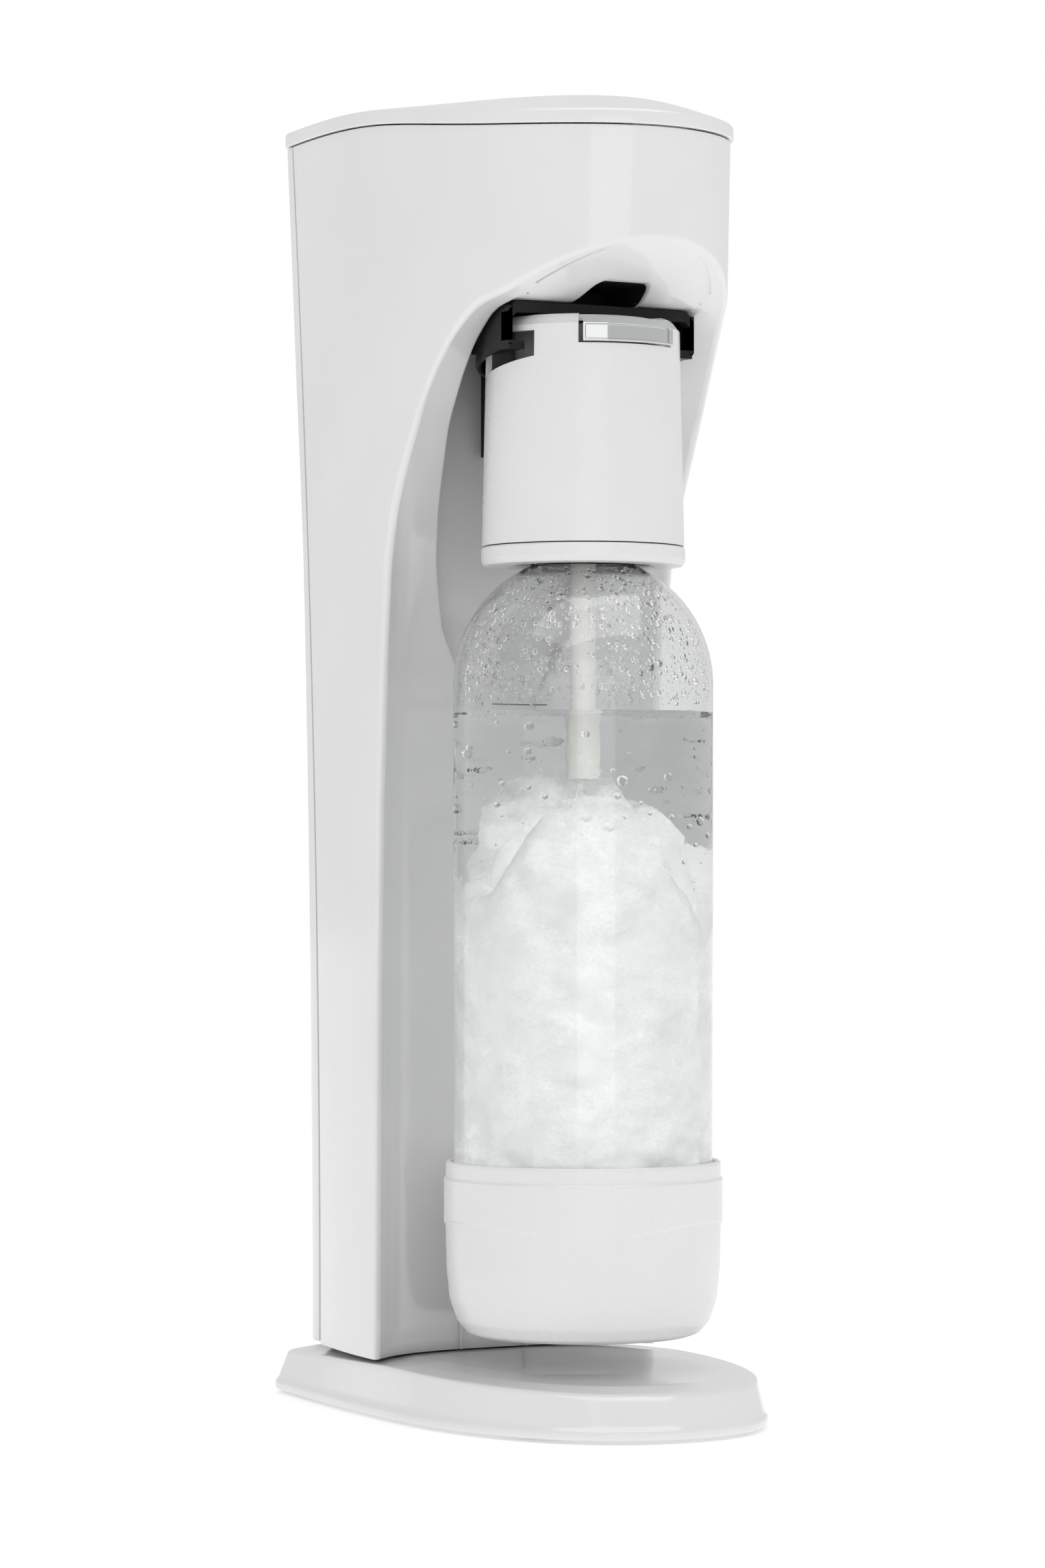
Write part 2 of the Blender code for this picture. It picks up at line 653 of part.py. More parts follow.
def make_carriage():
    """The black bracket in the bay: a ceiling, a collar with hooks, a back and a spine."""
    half, back = CARRIAGE_HALF, -0.0563
    carriage = loft("carriage", [[(f, s, z) for f, s in collar_outline()] for z in (0.330, 0.3615)])
    cut(carriage, side_prism("under_rim", [(0.03, 0.320), (0.03, rim_height(0.03)),
                                           (-0.06, rim_height(-0.06)), (-0.06, 0.320)], 0.05,
                             cutter=True))
    plate = [(-half, 0.3604), (half, 0.3604), (half - 0.0012, CARRIAGE_TOP),
             (-half + 0.0012, CARRIAGE_TOP)]
    join(carriage, front_prism("ceiling", plate, back, 0.0080, cutter=True),
         front_prism("front_bar", ceiling_outline(0.3597), 0.0078, CARRIAGE_FRONT, cutter=True),
         box("carriage_back", (back, -0.0290, 0.3525), (back + 0.0025, 0.0290, 0.3620), cutter=True),
         box("carriage_spine", (back, -0.0065, 0.3180), (back + 0.0025, 0.0065, 0.3540), cutter=True))
    for side, name in ((-1, "left"), (1, "right")):
        join(carriage, box("hook_" + name, (-0.0120, side * 0.0290, 0.3473),
                           (0.0118, side * 0.0342, 0.3500), cutter=True))
        shank = dict(low=(-0.0600, side * 0.022, 0.3562), high=(-0.0500, side * 0.022, 0.3562))
        cut(carriage, cylinder("screw_way_" + name, 0.0018, shank["low"], shank["high"], cutter=True,
                               sides=16))
        make_screw("carriage_screw_" + name, (-0.0535, side * 0.022, 0.3562), 0.0026)
    cut(carriage, cylinder("carriage_port_way", 0.0033, (-0.06, 0, PORT_Z), (-0.05, 0, PORT_Z),
                           cutter=True))
    return black(carriage)


def make_screw(name, seat, shank_length):
    """A pan-head screw that faces forward, with its head on the seat."""
    f, s, z = seat
    screw = cylinder(name, 0.0030, (f, s, z), (f + 0.0017, s, z), sides=16)
    join(screw, cylinder(name + "_shank", 0.0014, (f - shank_length, s, z), (f + 0.0005, s, z),
                         cutter=True, sides=12))
    cut(screw, box(name + "_slot", (f + 0.0009, s - 0.004, z - 0.0004),
                   (f + 0.0030, s + 0.004, z + 0.0004), cutter=True))
    return steel(screw)


# ---------------------------------------------------------------- infuser
def make_sleeve():
    top, low = SLEEVE_TOP, SLEEVE_BOTTOM
    sleeve = turned("infuser_sleeve",
                    [(0.0062, top), (0.0284, top), (0.0292, top - 0.0006), (0.0316, top - 0.0034),
                     (0.0331, low), (0.0308, low), (0.0293, top - 0.0054), (0.0270, top - 0.0022),
                     (0.0062, top - 0.0022)])
    groove = [(GROOVE_FRONT, 0.3450), (GROOVE_FRONT, 0.3533), (-0.0450, 0.3533),
              (-0.0450, 0.3450 - 0.163 * (GROOVE_FRONT + 0.0450))]
    for side, name in ((-1, "left"), (1, "right")):
        cut(sleeve, side_prism("groove_" + name, groove, side * 0.0400, cutter=True,
                               near=side * 0.0272))
    cut(sleeve, box("lever_notch", (0.0236, -0.0176, 0.3487), (0.0400, 0.0176, 0.3620), cutter=True),
        cylinder("sleeve_port", 0.0042, (-0.0450, 0, PORT_Z), (-0.0200, 0, PORT_Z), cutter=True))
    return white(sleeve)


def make_ring():
    return white(turned("infuser_ring",
                        [(0.0331, 0.2847), (0.0334, 0.2842), (0.0334, 0.2806), (0.0322, RING_BOTTOM),
                         (0.0223, RING_BOTTOM), (0.0223, 0.2809), (0.0304, 0.2809), (0.0304, 0.2847)]))


def make_core():
    """The threaded socket that the bottle screws into, with its gas way."""
    core = turned("infuser_core",
                  [(0.0056, 0.3594), (0.0056, 0.3560), (0.0222, 0.3560), (0.0222, 0.3430),
                   (0.0286, 0.3400), (0.0286, 0.2850), (0.0222, 0.2812), (0.0190, 0.2812),
                   (0.0190, 0.2870), (0.0166, 0.2870), (0.0166, 0.3035), (0.0046, 0.3035),
                   (0.0046, 0.3180), (0.0020, 0.3180), (0.0020, 0.3594)])
    cut(core, cylinder("inlet_way", 0.0033, (-0.0320, 0, PORT_Z), (-0.0010, 0, PORT_Z), cutter=True),
        cylinder("plunger_way", 0.0021, (0.0170, 0, 0.3440), (0.0170, 0, 0.3600), cutter=True,
                 sides=16))
    finish(core, (0.75, 0.76, 0.78), 0.4)
    rubber(turned("bottle_gasket", [(0.0155, 0.3032), (0.0155, 0.3013), (0.0092, 0.3013),
                                    (0.0092, 0.3032)], sides=32))
    steel(cylinder("vent_plunger", 0.0017, (0.0170, 0, 0.3446), (0.0170, 0, 0.3545), sides=16))
    tube = turned("dip_tube", [(0.0042, 0.3176), (0.0042, 0.2090), (0.0030, 0.2090),
                               (0.0030, 0.3176)], sides=20)
    finish(tube, (0.9, 0.9, 0.85), 0.4)


def make_release_lever():
    """The chrome lever at the front of the infuser: a curved bar that hinges at its top."""
    arc = []
    for i in range(13):
        turn = math.radians(-31 + 62 * i / 12)
        arc.append((math.cos(turn), math.sin(turn)))
    outline = [(0.0332 * f, 0.0332 * s) for f, s in arc]
    outline += [(0.0300 * f, 0.0300 * s) for f, s in reversed(arc)]
    rings = [[(f, s, z) for f, s in outline] for z in (0.3492, 0.3572)]
    return finish(loft("release_lever", rings), (0.8, 0.8, 0.82), 0.08, metallic=1.0)


# ---------------------------------------------------------------- bottle
def arc_points(radius, centre, start, end, count):
    """(radius, z) points on a circle about the axis, from one angle of elevation to another."""
    points = []
    for i in range(count):
        turn = math.radians(start + (end - start) * i / (count - 1))
        points.append((radius * math.cos(turn), centre + radius * math.sin(turn)))
    return points


def make_bottle():
    wall = 0.0011
    foot_z = 0.0760                       # centre of the round foot inside the cup
    outside = [(0.0142, MOUTH_Z), (0.0142, 0.2970), (0.0158, 0.2962), (0.0142, 0.2950),
               (0.0142, 0.2920), (0.0158, 0.2912), (0.0142, 0.2900), (0.0142, 0.2860),
               (0.0176, 0.2852), (0.0176, 0.2837), (0.0158, 0.2828)]
    outside += arc_points(BOTTLE_R, DOME_Z, 65, 0, 7)
    outside += arc_points(BOTTLE_R - 0.0003, foot_z, 0, -75, 5)
    inside = arc_points(BOTTLE_R - 0.0003 - wall, foot_z, -75, 0, 5)
    inside += arc_points(BOTTLE_R - wall, DOME_Z, 0, 68, 6)
    inside += [(0.0118, 0.2830), (0.0118, MOUTH_Z)]
    low = foot_z - BOTTLE_R + 0.0003
    profile = outside + [(0.0, low), (0.0, low + wall)] + inside
    bottle = turned("bottle", profile)
    return finish(bottle, (0.93, 0.96, 0.97), 0.03, alpha=0.35)


def make_cup():
    low = CUP_BOTTOM
    profile = [(0.0431, CUP_TOP), (0.0446, CUP_TOP), (0.0449, CUP_TOP - 0.0008), (0.0449, 0.0798),
               (0.0455, 0.0792), (0.0455, 0.0645), (0.0449, 0.0638), (0.0446, 0.0500),
               (0.0436, 0.0400), (0.0412, 0.0330), (0.0380, 0.0292), (0.0345, low), (0.0, low),
               (0.0, 0.0305), (0.0150, 0.0305), (0.0310, 0.0382), (0.0412, 0.0560),
               (0.0431, 0.0700)]
    return white(turned("bottle_cup", profile))


# ---------------------------------------------------------------- assembly
def build():
    clearance = make_base()
    make_body(clearance)
    make_fascia(clearance)
    make_rear_cover()
    make_top_cover()
    make_button()
    make_lever()
    make_valve_block()
    make_cylinder()
    make_chassis()
    make_gas_line()
    make_carriage()
    make_sleeve()
    make_ring()
    make_core()
    make_release_lever()
    make_bottle()
    make_cup()


build()
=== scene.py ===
"""The looks of the soda carbonator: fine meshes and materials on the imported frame.

Metres, in the frame's own axes: +Z up, the machine faces -Y.  Plan points are given as
(forward, across): the distance in front of the bottle's axis and the distance to the side.
"""
import json
import math
import random

import bmesh
import bpy
import numpy as np
from mathutils import Matrix, Vector


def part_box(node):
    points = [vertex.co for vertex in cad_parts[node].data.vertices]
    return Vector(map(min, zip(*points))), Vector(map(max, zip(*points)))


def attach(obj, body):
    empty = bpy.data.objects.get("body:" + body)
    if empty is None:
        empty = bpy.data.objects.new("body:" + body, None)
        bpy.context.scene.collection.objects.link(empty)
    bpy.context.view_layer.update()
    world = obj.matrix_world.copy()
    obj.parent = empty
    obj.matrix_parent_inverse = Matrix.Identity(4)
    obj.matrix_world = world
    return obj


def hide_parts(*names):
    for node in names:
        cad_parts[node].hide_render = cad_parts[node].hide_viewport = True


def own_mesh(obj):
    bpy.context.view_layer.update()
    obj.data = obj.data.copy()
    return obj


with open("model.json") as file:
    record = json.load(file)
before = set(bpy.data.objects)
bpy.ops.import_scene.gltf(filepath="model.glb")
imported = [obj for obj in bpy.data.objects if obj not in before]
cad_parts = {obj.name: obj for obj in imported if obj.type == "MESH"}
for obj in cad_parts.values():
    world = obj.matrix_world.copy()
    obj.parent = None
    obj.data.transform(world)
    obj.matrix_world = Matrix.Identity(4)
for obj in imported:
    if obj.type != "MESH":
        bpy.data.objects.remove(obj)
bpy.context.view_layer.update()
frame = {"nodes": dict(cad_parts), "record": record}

# ---------------------------------------------------------------- dimensions from the frame
BOTTLE_LOW, BOTTLE_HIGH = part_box("bottle")
CUP_LOW, CUP_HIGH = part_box("bottle_cup")
SLEEVE_LOW, SLEEVE_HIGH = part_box("infuser_sleeve")
BUTTON_LOW, BUTTON_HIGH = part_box("carbonating_button")
TANK_LOW, TANK_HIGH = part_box("gas_cylinder")
SPRING_LOW, SPRING_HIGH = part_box("button_spring")
AXIS_Y = (BOTTLE_LOW.y + BOTTLE_HIGH.y) / 2
BUTTON_F = AXIS_Y - (BUTTON_LOW.y + BUTTON_HIGH.y) / 2
BUTTON_R = (BUTTON_HIGH.x - BUTTON_LOW.x) / 2
BUTTON_TOP = BUTTON_HIGH.z
CYLINDER_F = AXIS_Y - (TANK_LOW.y + TANK_HIGH.y) / 2
CYLINDER_R = (TANK_HIGH.x - TANK_LOW.x) / 2
BASE_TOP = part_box("base_plate")[1].z
SLEEVE_TOP, SLEEVE_BOTTOM = SLEEVE_HIGH.z, SLEEVE_LOW.z
BOTTLE_R = (BOTTLE_HIGH.x - BOTTLE_LOW.x) / 2
MOUTH_Z = BOTTLE_HIGH.z
CUP_TOP, CUP_BOTTOM = CUP_HIGH.z, CUP_LOW.z

WALL = 0.0024                # moulded wall of the casings
EDGE_CUT = 0.00095           # how far the rounding cuts back the front opening's edge
SEAM_EDGE = 0.0005           # radius of the casings' edges along their seams
COLUMN_FOOT = 0.0186         # where the casings start, just over the base
NOSE_F = 0.0520
SEAM_MIDDLE = 0.4210
SEAM_RISE = 0.0055
CROWN_Z = 0.4312
CROWN_SLOPE = 0.04
WELL_FLOOR = 0.4192
BAY_TOP = 0.3632
BAY_BACK = -0.0570
DOME_Z = 0.2400              # centre of the bottle's round shoulder
BOTTLE_WALL = 0.0011
WATER_Z = 0.2302
PORT_Z = 0.3360


# ---------------------------------------------------------------- meshes from grids
def at(forward, across, z):
    """Frame points from their plan distances to the bottle's axis."""
    forward, across, z = np.broadcast_arrays(forward, across, z)
    return np.stack([across, AXIS_Y - forward, z], axis=-1).astype(float)


def object_from(name, points, faces, angle=50, merge=1e-7):
    mesh = bpy.data.meshes.new(name)
    mesh.from_pydata([tuple(p) for p in points], [], faces)
    bm = bmesh.new()
    bm.from_mesh(mesh)
    bmesh.ops.remove_doubles(bm, verts=bm.verts, dist=merge)
    bmesh.ops.dissolve_degenerate(bm, dist=merge, edges=bm.edges)
    bmesh.ops.recalc_face_normals(bm, faces=bm.faces)
    bm.to_mesh(mesh)
    bm.free()
    mesh.shade_smooth()
    mesh.set_sharp_from_angle(angle=math.radians(angle))
    obj = bpy.data.objects.new(name, mesh)
    bpy.context.scene.collection.objects.link(obj)
    return obj


def grid_faces(rows, cols, wrap_rows=False, wrap_cols=False):
    faces = []
    for i in range(rows if wrap_rows else rows - 1):
        k = (i + 1) % rows
        for j in range(cols if wrap_cols else cols - 1):
            n = (j + 1) % cols
            faces.append((i * cols + j, i * cols + n, k * cols + n, k * cols + j))
    return faces


def sheet_mesh(name, grid, wrap_rows=False, wrap_cols=False, angle=50):
    """A surface through a (rows, columns, 3) grid of points."""
    rows, cols = grid.shape[:2]
    return object_from(name, grid.reshape(-1, 3), grid_faces(rows, cols, wrap_rows, wrap_cols),
                       angle)


def swept_mesh(name, loops, closed=False, angle=50):
    """A solid swept through closed loops of points; open ends are laddered shut."""
    rows, cols = loops.shape[:2]
    faces = grid_faces(rows, cols, wrap_rows=closed, wrap_cols=True)
    if not closed:
        for row in (0, rows - 1):
            for j in range(cols // 2 - 1):
                a, b = row * cols + j, row * cols + cols - 1 - j
                faces.append((a, a + 1, b - 1, b))
    return object_from(name, loops.reshape(-1, 3), faces, angle)


def unit(vectors):
    return vectors / np.maximum(np.linalg.norm(vectors, axis=-1, keepdims=True), 1e-12)


def rounded_end(end, near, normal, radius, steps=5):
    """Points round the end of a line, from along its normal to along the line itself."""
    along = unit(end - near)
    centre = end - along * radius - normal * radius
    return [centre + normal * radius * math.cos(t) + along * radius * math.sin(t)
            for t in np.linspace(0, math.pi / 2, steps)]


def softened(rings, spacing, sigma):
    """Profiles (columns, knots, 3) resampled evenly and blurred, so that their corners round."""
    lengths = np.linalg.norm(np.diff(rings, axis=1), axis=-1).mean(axis=0)
    pieces = [rings[:, :1]]
    for i, length in enumerate(lengths):
        count = max(2, int(round(length / spacing)))
        share = (np.arange(1, count + 1) / count)[None, :, None]
        pieces.append(rings[:, i:i + 1] * (1 - share) + rings[:, i + 1:i + 2] * share)
    dense = np.concatenate(pieces, axis=1)
    return blurred(dense, sigma / spacing)


def blurred(lines, sigma):
    """Lines (n, points, k) blurred along their points, with both ends kept in place."""
    reach = int(3 * sigma) + 1
    weights = np.exp(-0.5 * (np.arange(-reach, reach + 1) / sigma) ** 2)
    weights /= weights.sum()
    before = 2 * lines[:, :1] - lines[:, reach:0:-1]
    after = 2 * lines[:, -1:] - lines[:, -2:-reach - 2:-1]
    padded = np.concatenate([before, lines, after], axis=1)
    count = lines.shape[1]
    return sum(w * padded[:, i:i + count] for i, w in enumerate(weights))


def smooth_step(value, low, high):
    share = np.clip((value - low) / (high - low), 0.0, 1.0)
    return share * share * (3 - 2 * share)


def thickened(obj, thickness):
    thick = obj.modifiers.new("thickness", "SOLIDIFY")
    thick.thickness = thickness
    thick.offset = -1.0
    return obj


def rounded_edges(obj, width, segments, angle):
    edge = obj.modifiers.new("edges", "BEVEL")
    edge.width = width
    edge.segments = segments
    edge.limit_method = "ANGLE"
    edge.angle_limit = math.radians(angle)
    edge.harden_normals = True
    return obj


# ---------------------------------------------------------------- turned pieces
def turned(name, profile, forward=0.0, columns=128, sigma=0.0003, spacing=0.00025, ring=True,
           angle=50):
    """A turned piece on a vertical axis, its (radius, z) profile softened at the corners."""
    knots = np.array(list(profile) + ([profile[0]] if ring else []), float)[None]
    line = (softened(knots, spacing, sigma) if sigma else knots)[0]
    line[:, 0] = np.maximum(line[:, 0], 0.0)
    if ring:
        line = line[:-1]
    turn = np.linspace(0, 2 * math.pi, columns, endpoint=False)[:, None]
    grid = at(forward + line[None, :, 0] * np.cos(turn), line[None, :, 0] * np.sin(turn),
              line[None, :, 1])
    return sheet_mesh(name, grid, wrap_rows=True, wrap_cols=ring, angle=angle)


def arc(radius, centre, start, end, count):
    """(radius, z) points on a circle about the axis, between two angles of elevation."""
    turns = np.radians(np.linspace(start, end, count))
    return [(radius * math.cos(t), centre + radius * math.sin(t)) for t in turns]


# ---------------------------------------------------------------- the body's outer form
def open_out(z):
    """How far the body has opened out at a height, from 0 at the foot to 1 at the top."""
    return (np.clip(z, 0.02, 0.425) - 0.02) ** 2 / 0.405 ** 2


def plan_point(place, z):
    """(forward, across) on the body: place 0 is the nose, 1 the widest, 2 the seam, 3 the back."""
    place, z = np.broadcast_arrays(np.asarray(place, float), np.asarray(z, float))
    wide = open_out(z)
    nose = NOSE_F - 0.0089 * (1 - wide)
    half = 0.0546 + 0.0019 * wide
    corner_half = 0.045 + 0.005 * wide
    corner = -0.099 - 0.011 * wide
    back = -0.127 - 0.007 * wide
    middle = -0.032
    turn = np.clip(place, 0, 1) * math.pi / 2
    run = np.clip(place - 1, 0, 1)
    bend = np.clip(place - 2, 0, 1) * math.pi / 2
    power = 2 / 2.2
    forward = np.where(place <= 1, middle + (nose - middle) * np.cos(turn),
                       np.where(place <= 2, middle + (corner - middle) * run,
                                corner + (back - corner) * np.sin(bend) ** power))
    across = np.where(place <= 1, half * np.sin(turn),
                      np.where(place <= 2, half - (half - corner_half) * run ** 1.7,
                               corner_half * np.maximum(np.cos(bend), 0) ** power))
    return forward, across


def body_point(place, z):
    forward, across = plan_point(place, z)
    return at(forward, across, z)


def body_normal(place, z):
    """Outward normals of the body, kept within the zone of the plan that a place is in."""
    step = 1e-4
    zone = np.minimum(np.floor(np.asarray(place, float)), 2)
    before = np.maximum(place - step, zone)
    after = np.minimum(place + step, zone + 1)
    along = body_point(after, z) - body_point(before, z)
    rise = body_point(place, z + step) - body_point(place, z - step)
    normal = unit(np.cross(along, rise))
    outward = body_point(place, z) - at(-0.035, 0.0, z)
    return normal * np.sign((normal * outward).sum(axis=-1, keepdims=True))


def seam_height(forward):
    return SEAM_MIDDLE - SEAM_RISE * np.tanh((forward + 0.013) / 0.046)


def crown_height(forward):
    return CROWN_Z + CROWN_SLOPE * (BUTTON_F - forward)


# ---------------------------------------------------------------- the concave front face
# (forward, z) of the front opening's edge at the sides, and of the same line nearer the middle
OUTER_LINE = ((-0.0420, 0.005), (-0.0418, 0.070), (-0.0407, 0.140), (-0.0390, 0.203),
              (-0.0360, 0.250), (-0.0330, 0.280), (-0.0285, 0.297), (-0.0222, 0.3106),
              (-0.0105, 0.3322), (-0.0037, 0.3415), (0.0055, 0.3515), (0.0162, 0.3601),
              (0.0251, 0.3659), (0.0362, 0.3716), (0.0487, 0.3800), (0.0640, 0.3905))
INNER_LINE = ((-0.0547, 0.005), (-0.0544, 0.070), (-0.0532, 0.140), (-0.0510, 0.203),
              (-0.0475, 0.250), (-0.0440, 0.280), (-0.0380, 0.298), (-0.0315, 0.311),
              (-0.0235, 0.328), (-0.0150, 0.341), (-0.0070, 0.351), (0.0050, 0.360),
              (0.0190, 0.3632), (0.0340, 0.3715), (0.0500, 0.3810), (0.0640, 0.3905))
OUTER_HALF, INNER_HALF = 0.054, 0.036
MOST_SHARE = 1 / (1 - (INNER_HALF / OUTER_HALF) ** 3)
FACE_SHARES = np.linspace(0.0, MOST_SHARE, 73)
FACE_LEVELS = np.linspace(0.006, 0.3900, 1537)


def face_table():
    """The face's forward distance at each share of its hollow (rows) and height (columns)."""
    outer, inner = np.array(OUTER_LINE), np.array(INNER_LINE)
    table = []
    for share in FACE_SHARES:
        forward = outer[:, 0] + (inner[:, 0] - outer[:, 0]) * share
        height = outer[:, 1] + (inner[:, 1] - outer[:, 1]) * min(share, 1.0)
        line = softened(np.stack([forward, height], axis=-1)[None], 0.0005, 0.0032)[0]
        table.append(np.interp(FACE_LEVELS, np.maximum.accumulate(line[:, 1]), line[:, 0]))
    return np.array(table)


FACE = face_table()


def face_forward(across, z):
    """Forward distance of the front face at places across the machine and heights."""
    across, z = np.broadcast_arrays(np.asarray(across, float), np.asarray(z, float))
    side = np.clip(np.abs(across) / OUTER_HALF, 0.0, 1.0)
    row = (1 - side ** 3) * (len(FACE_SHARES) - 1)
    column = (z - FACE_LEVELS[0]) / (FACE_LEVELS[1] - FACE_LEVELS[0])
    row0 = np.clip(np.floor(row).astype(int), 0, len(FACE_SHARES) - 2)
    col0 = np.clip(np.floor(column).astype(int), 0, len(FACE_LEVELS) - 2)
    u, v = row - row0, np.clip(column - col0, 0, 1)
    return ((FACE[row0, col0] * (1 - v) + FACE[row0, col0 + 1] * v) * (1 - u)
            + (FACE[row0 + 1, col0] * (1 - v) + FACE[row0 + 1, col0 + 1] * v) * u)


def bisect(low, high, positive_at_low):
    """Where a falling test changes sign, for whole arrays at once."""
    low, high = np.array(low, float), np.array(high, float)
    for _ in range(40):
        middle = (low + high) / 2
        keep = positive_at_low(middle)
        low, high = np.where(keep, middle, low), np.where(keep, high, middle)
    return (low + high) / 2


def arch_place(z):
    """The place on the body where the front face cuts its side, at each height."""
    def ahead(place):
        forward, across = plan_point(place, z)
        return forward > face_forward(across, z)
    return bisect(np.zeros_like(z), np.full_like(z, 1.7), ahead)


def arch_top():
    """The height at which the front face comes out at the nose."""
    def below(z):
        return plan_point(0.0, z)[0] > face_forward(0.0, z)
    return float(bisect(0.37, 0.389, below))


# ---------------------------------------------------------------- casings
FOOT_ROWS, SIDE_ROWS, TOP_ROWS = 64, 44, 96    # points along the opening's edge, run by run
FRONT_WALL = 0.0016          # the body's wall where it meets the front panel


def arch_line():
    """(place, z) along the front opening's edge, from its foot to the nose, in three runs."""
    top = arch_top()
    fine = COLUMN_FOOT + (top - COLUMN_FOOT) * (1 - (1 - np.linspace(0, 1, 1500)) ** 2.4)
    place = arch_place(fine)
    place[-1] = 0.0
    run = np.concatenate([[0.0], np.cumsum(np.linalg.norm(
        np.diff(body_point(place, fine), axis=0), axis=1))])
    at_foot = np.interp(0.262, fine, run)
    at_side = np.interp(0.352, fine, run)
    marks = np.concatenate([np.linspace(0, at_foot, FOOT_ROWS, endpoint=False),
                            np.linspace(at_foot, at_side, SIDE_ROWS, endpoint=False),
                            np.linspace(at_side, run[-1], TOP_ROWS)])
    return np.interp(marks, run, place), np.interp(marks, run, fine)


def face_normal(across, z):
    """Outward normals of the front face."""
    step = 1e-4
    slope_s = (face_forward(across + step, z) - face_forward(across - step, z)) / (2 * step)
    slope_z = (face_forward(across, z + step) - face_forward(across, z - step)) / (2 * step)
    return unit(np.stack([-slope_s, -np.ones_like(slope_s), -slope_z], axis=-1))


def arch_fillet(place, z, steps=8):
    """The rounding between the body and the front face, along the front opening's edge.

    Returns where it starts on the body, as (place, z), and its points (rows, steps, 3).
    """
    edge = body_point(place, z)
    body = body_normal(place, z)
    face = face_normal(edge[:, 0], z)
    tangent = unit(np.cross(body, face))
    into_body = np.cross(tangent, body)
    into_body *= -np.sign((into_body * face).sum(axis=-1, keepdims=True))
    into_face = np.cross(tangent, face)
    into_face *= -np.sign((into_face * body).sum(axis=-1, keepdims=True))
    half = np.arccos(np.clip((into_body * into_face).sum(axis=-1), -1, 1)) / 2
    radius = np.clip(EDGE_CUT / (1 / np.sin(half) - 1), 0.0008, 0.0022)
    run = (radius / np.tan(half))[:, None]
    centre = edge + unit(into_body + into_face) * (radius / np.sin(half))[:, None]
    turn = np.arccos(np.clip((body * face).sum(axis=-1), -1, 1))[:, None]
    shares = np.linspace(0, 1, steps)[None, :]
    weight_body = np.sin((1 - shares) * turn) / np.sin(turn)
    weight_face = np.sin(shares * turn) / np.sin(turn)
    arcs = centre[:, None] + radius[:, None, None] * (
        body[:, None] * weight_body[..., None] + face[:, None] * weight_face[..., None])
    step = 1e-4
    along = (body_point(place + step, z) - body_point(place - step, z)) / (2 * step)
    rise = (body_point(place, z + step) - body_point(place, z - step)) / (2 * step)
    along[place < 2 * step, 1] = 0.0
    want = into_body * run
    aa, ab, bb = ((p * q).sum(axis=-1) for p, q in ((along, along), (along, rise), (rise, rise)))
    av, bv = (along * want).sum(axis=-1), (rise * want).sum(axis=-1)
    scale = aa * bb - ab * ab
    start_place = np.maximum(place + (av * bb - bv * ab) / scale, 0.0)
    start_place[-1] = 0.0
    start_z = z + (aa * bv - ab * av) / scale
    end = edge + into_face * run
    end[:, 1] = AXIS_Y - face_forward(end[:, 0], end[:, 2])
    start = body_point(start_place, start_z)
    arcs += (start - arcs[:, 0])[:, None] * (1 - shares[..., None])
    arcs += (end - arcs[:, -1])[:, None] * shares[..., None]
    return start_place, start_z, arcs


def casing_half(columns=38):
    """The body casing's right half: places and heights from its rear seam to the opening,
    and the rounding round the opening."""
    foot, side, top = FOOT_ROWS, SIDE_ROWS, TOP_ROWS
    edge_place, edge_z, fillet = arch_fillet(*arch_line())
    edge_z[0] = COLUMN_FOOT
    fillet[0, :, 2] = COLUMN_FOOT
    corner_z = float(seam_height(plan_point(2.0, 0.425)[0]))
    far_z = np.concatenate([edge_z[:foot],
                            np.linspace(edge_z[foot], corner_z, side, endpoint=False),
                            np.full(top, corner_z)])
    far_place = np.concatenate([np.full(foot + side, 2.0), np.linspace(2.0, 0.0, top)])
    along_top = slice(foot + side, None)
    far_z[along_top] = seam_height(plan_point(far_place[along_top], 0.42)[0])
    share = np.linspace(0, 1, columns) ** 0.85
    place = far_place[:, None] * (1 - share) + edge_place[:, None] * share
    height = far_z[:, None] * (1 - share) + edge_z[:, None] * share
    return place, height, fillet


def mirrored_rows(half):
    """Rows of the right half, foot to nose, and the left half's back down again."""
    left = half[-2::-1] * np.array([-1.0, 1.0, 1.0])
    return np.concatenate([half, left])


def behind_face(points, depth):
    """The points, moved back where they would come nearer the front face than a depth."""
    limit = AXIS_Y - face_forward(points[..., 0], points[..., 2]) + depth
    moved = points.copy()
    moved[..., 1] = np.maximum(points[..., 1], limit)
    return moved


def make_body_casing():
    place, height, fillet = casing_half()
    outer = body_point(place, height)
    normal = body_normal(place, height)
    seam = rounded_end(outer[:, 0], outer[:, 1], normal[:, 0], SEAM_EDGE)[::-1]
    inner = outer - normal * WALL
    inner[:, :-2] = behind_face(inner[:, :-2], FRONT_WALL)
    last = fillet[:, -1]
    inward = face_normal(last[:, 0], last[:, 2])
    inner[:, -2:] = (last - inward * FRONT_WALL)[:, None]
    inner = behind_face(inner, 0.0010)
    loop = seam + [outer[:, i] for i in range(1, outer.shape[1])]
    loop += [fillet[:, i] for i in range(1, fillet.shape[1])]
    loop += [inner[:, i] for i in range(inner.shape[1] - 1, -1, -1)]
    return swept_mesh("casing_body", mirrored_rows(np.stack(loop, axis=1)), angle=60)


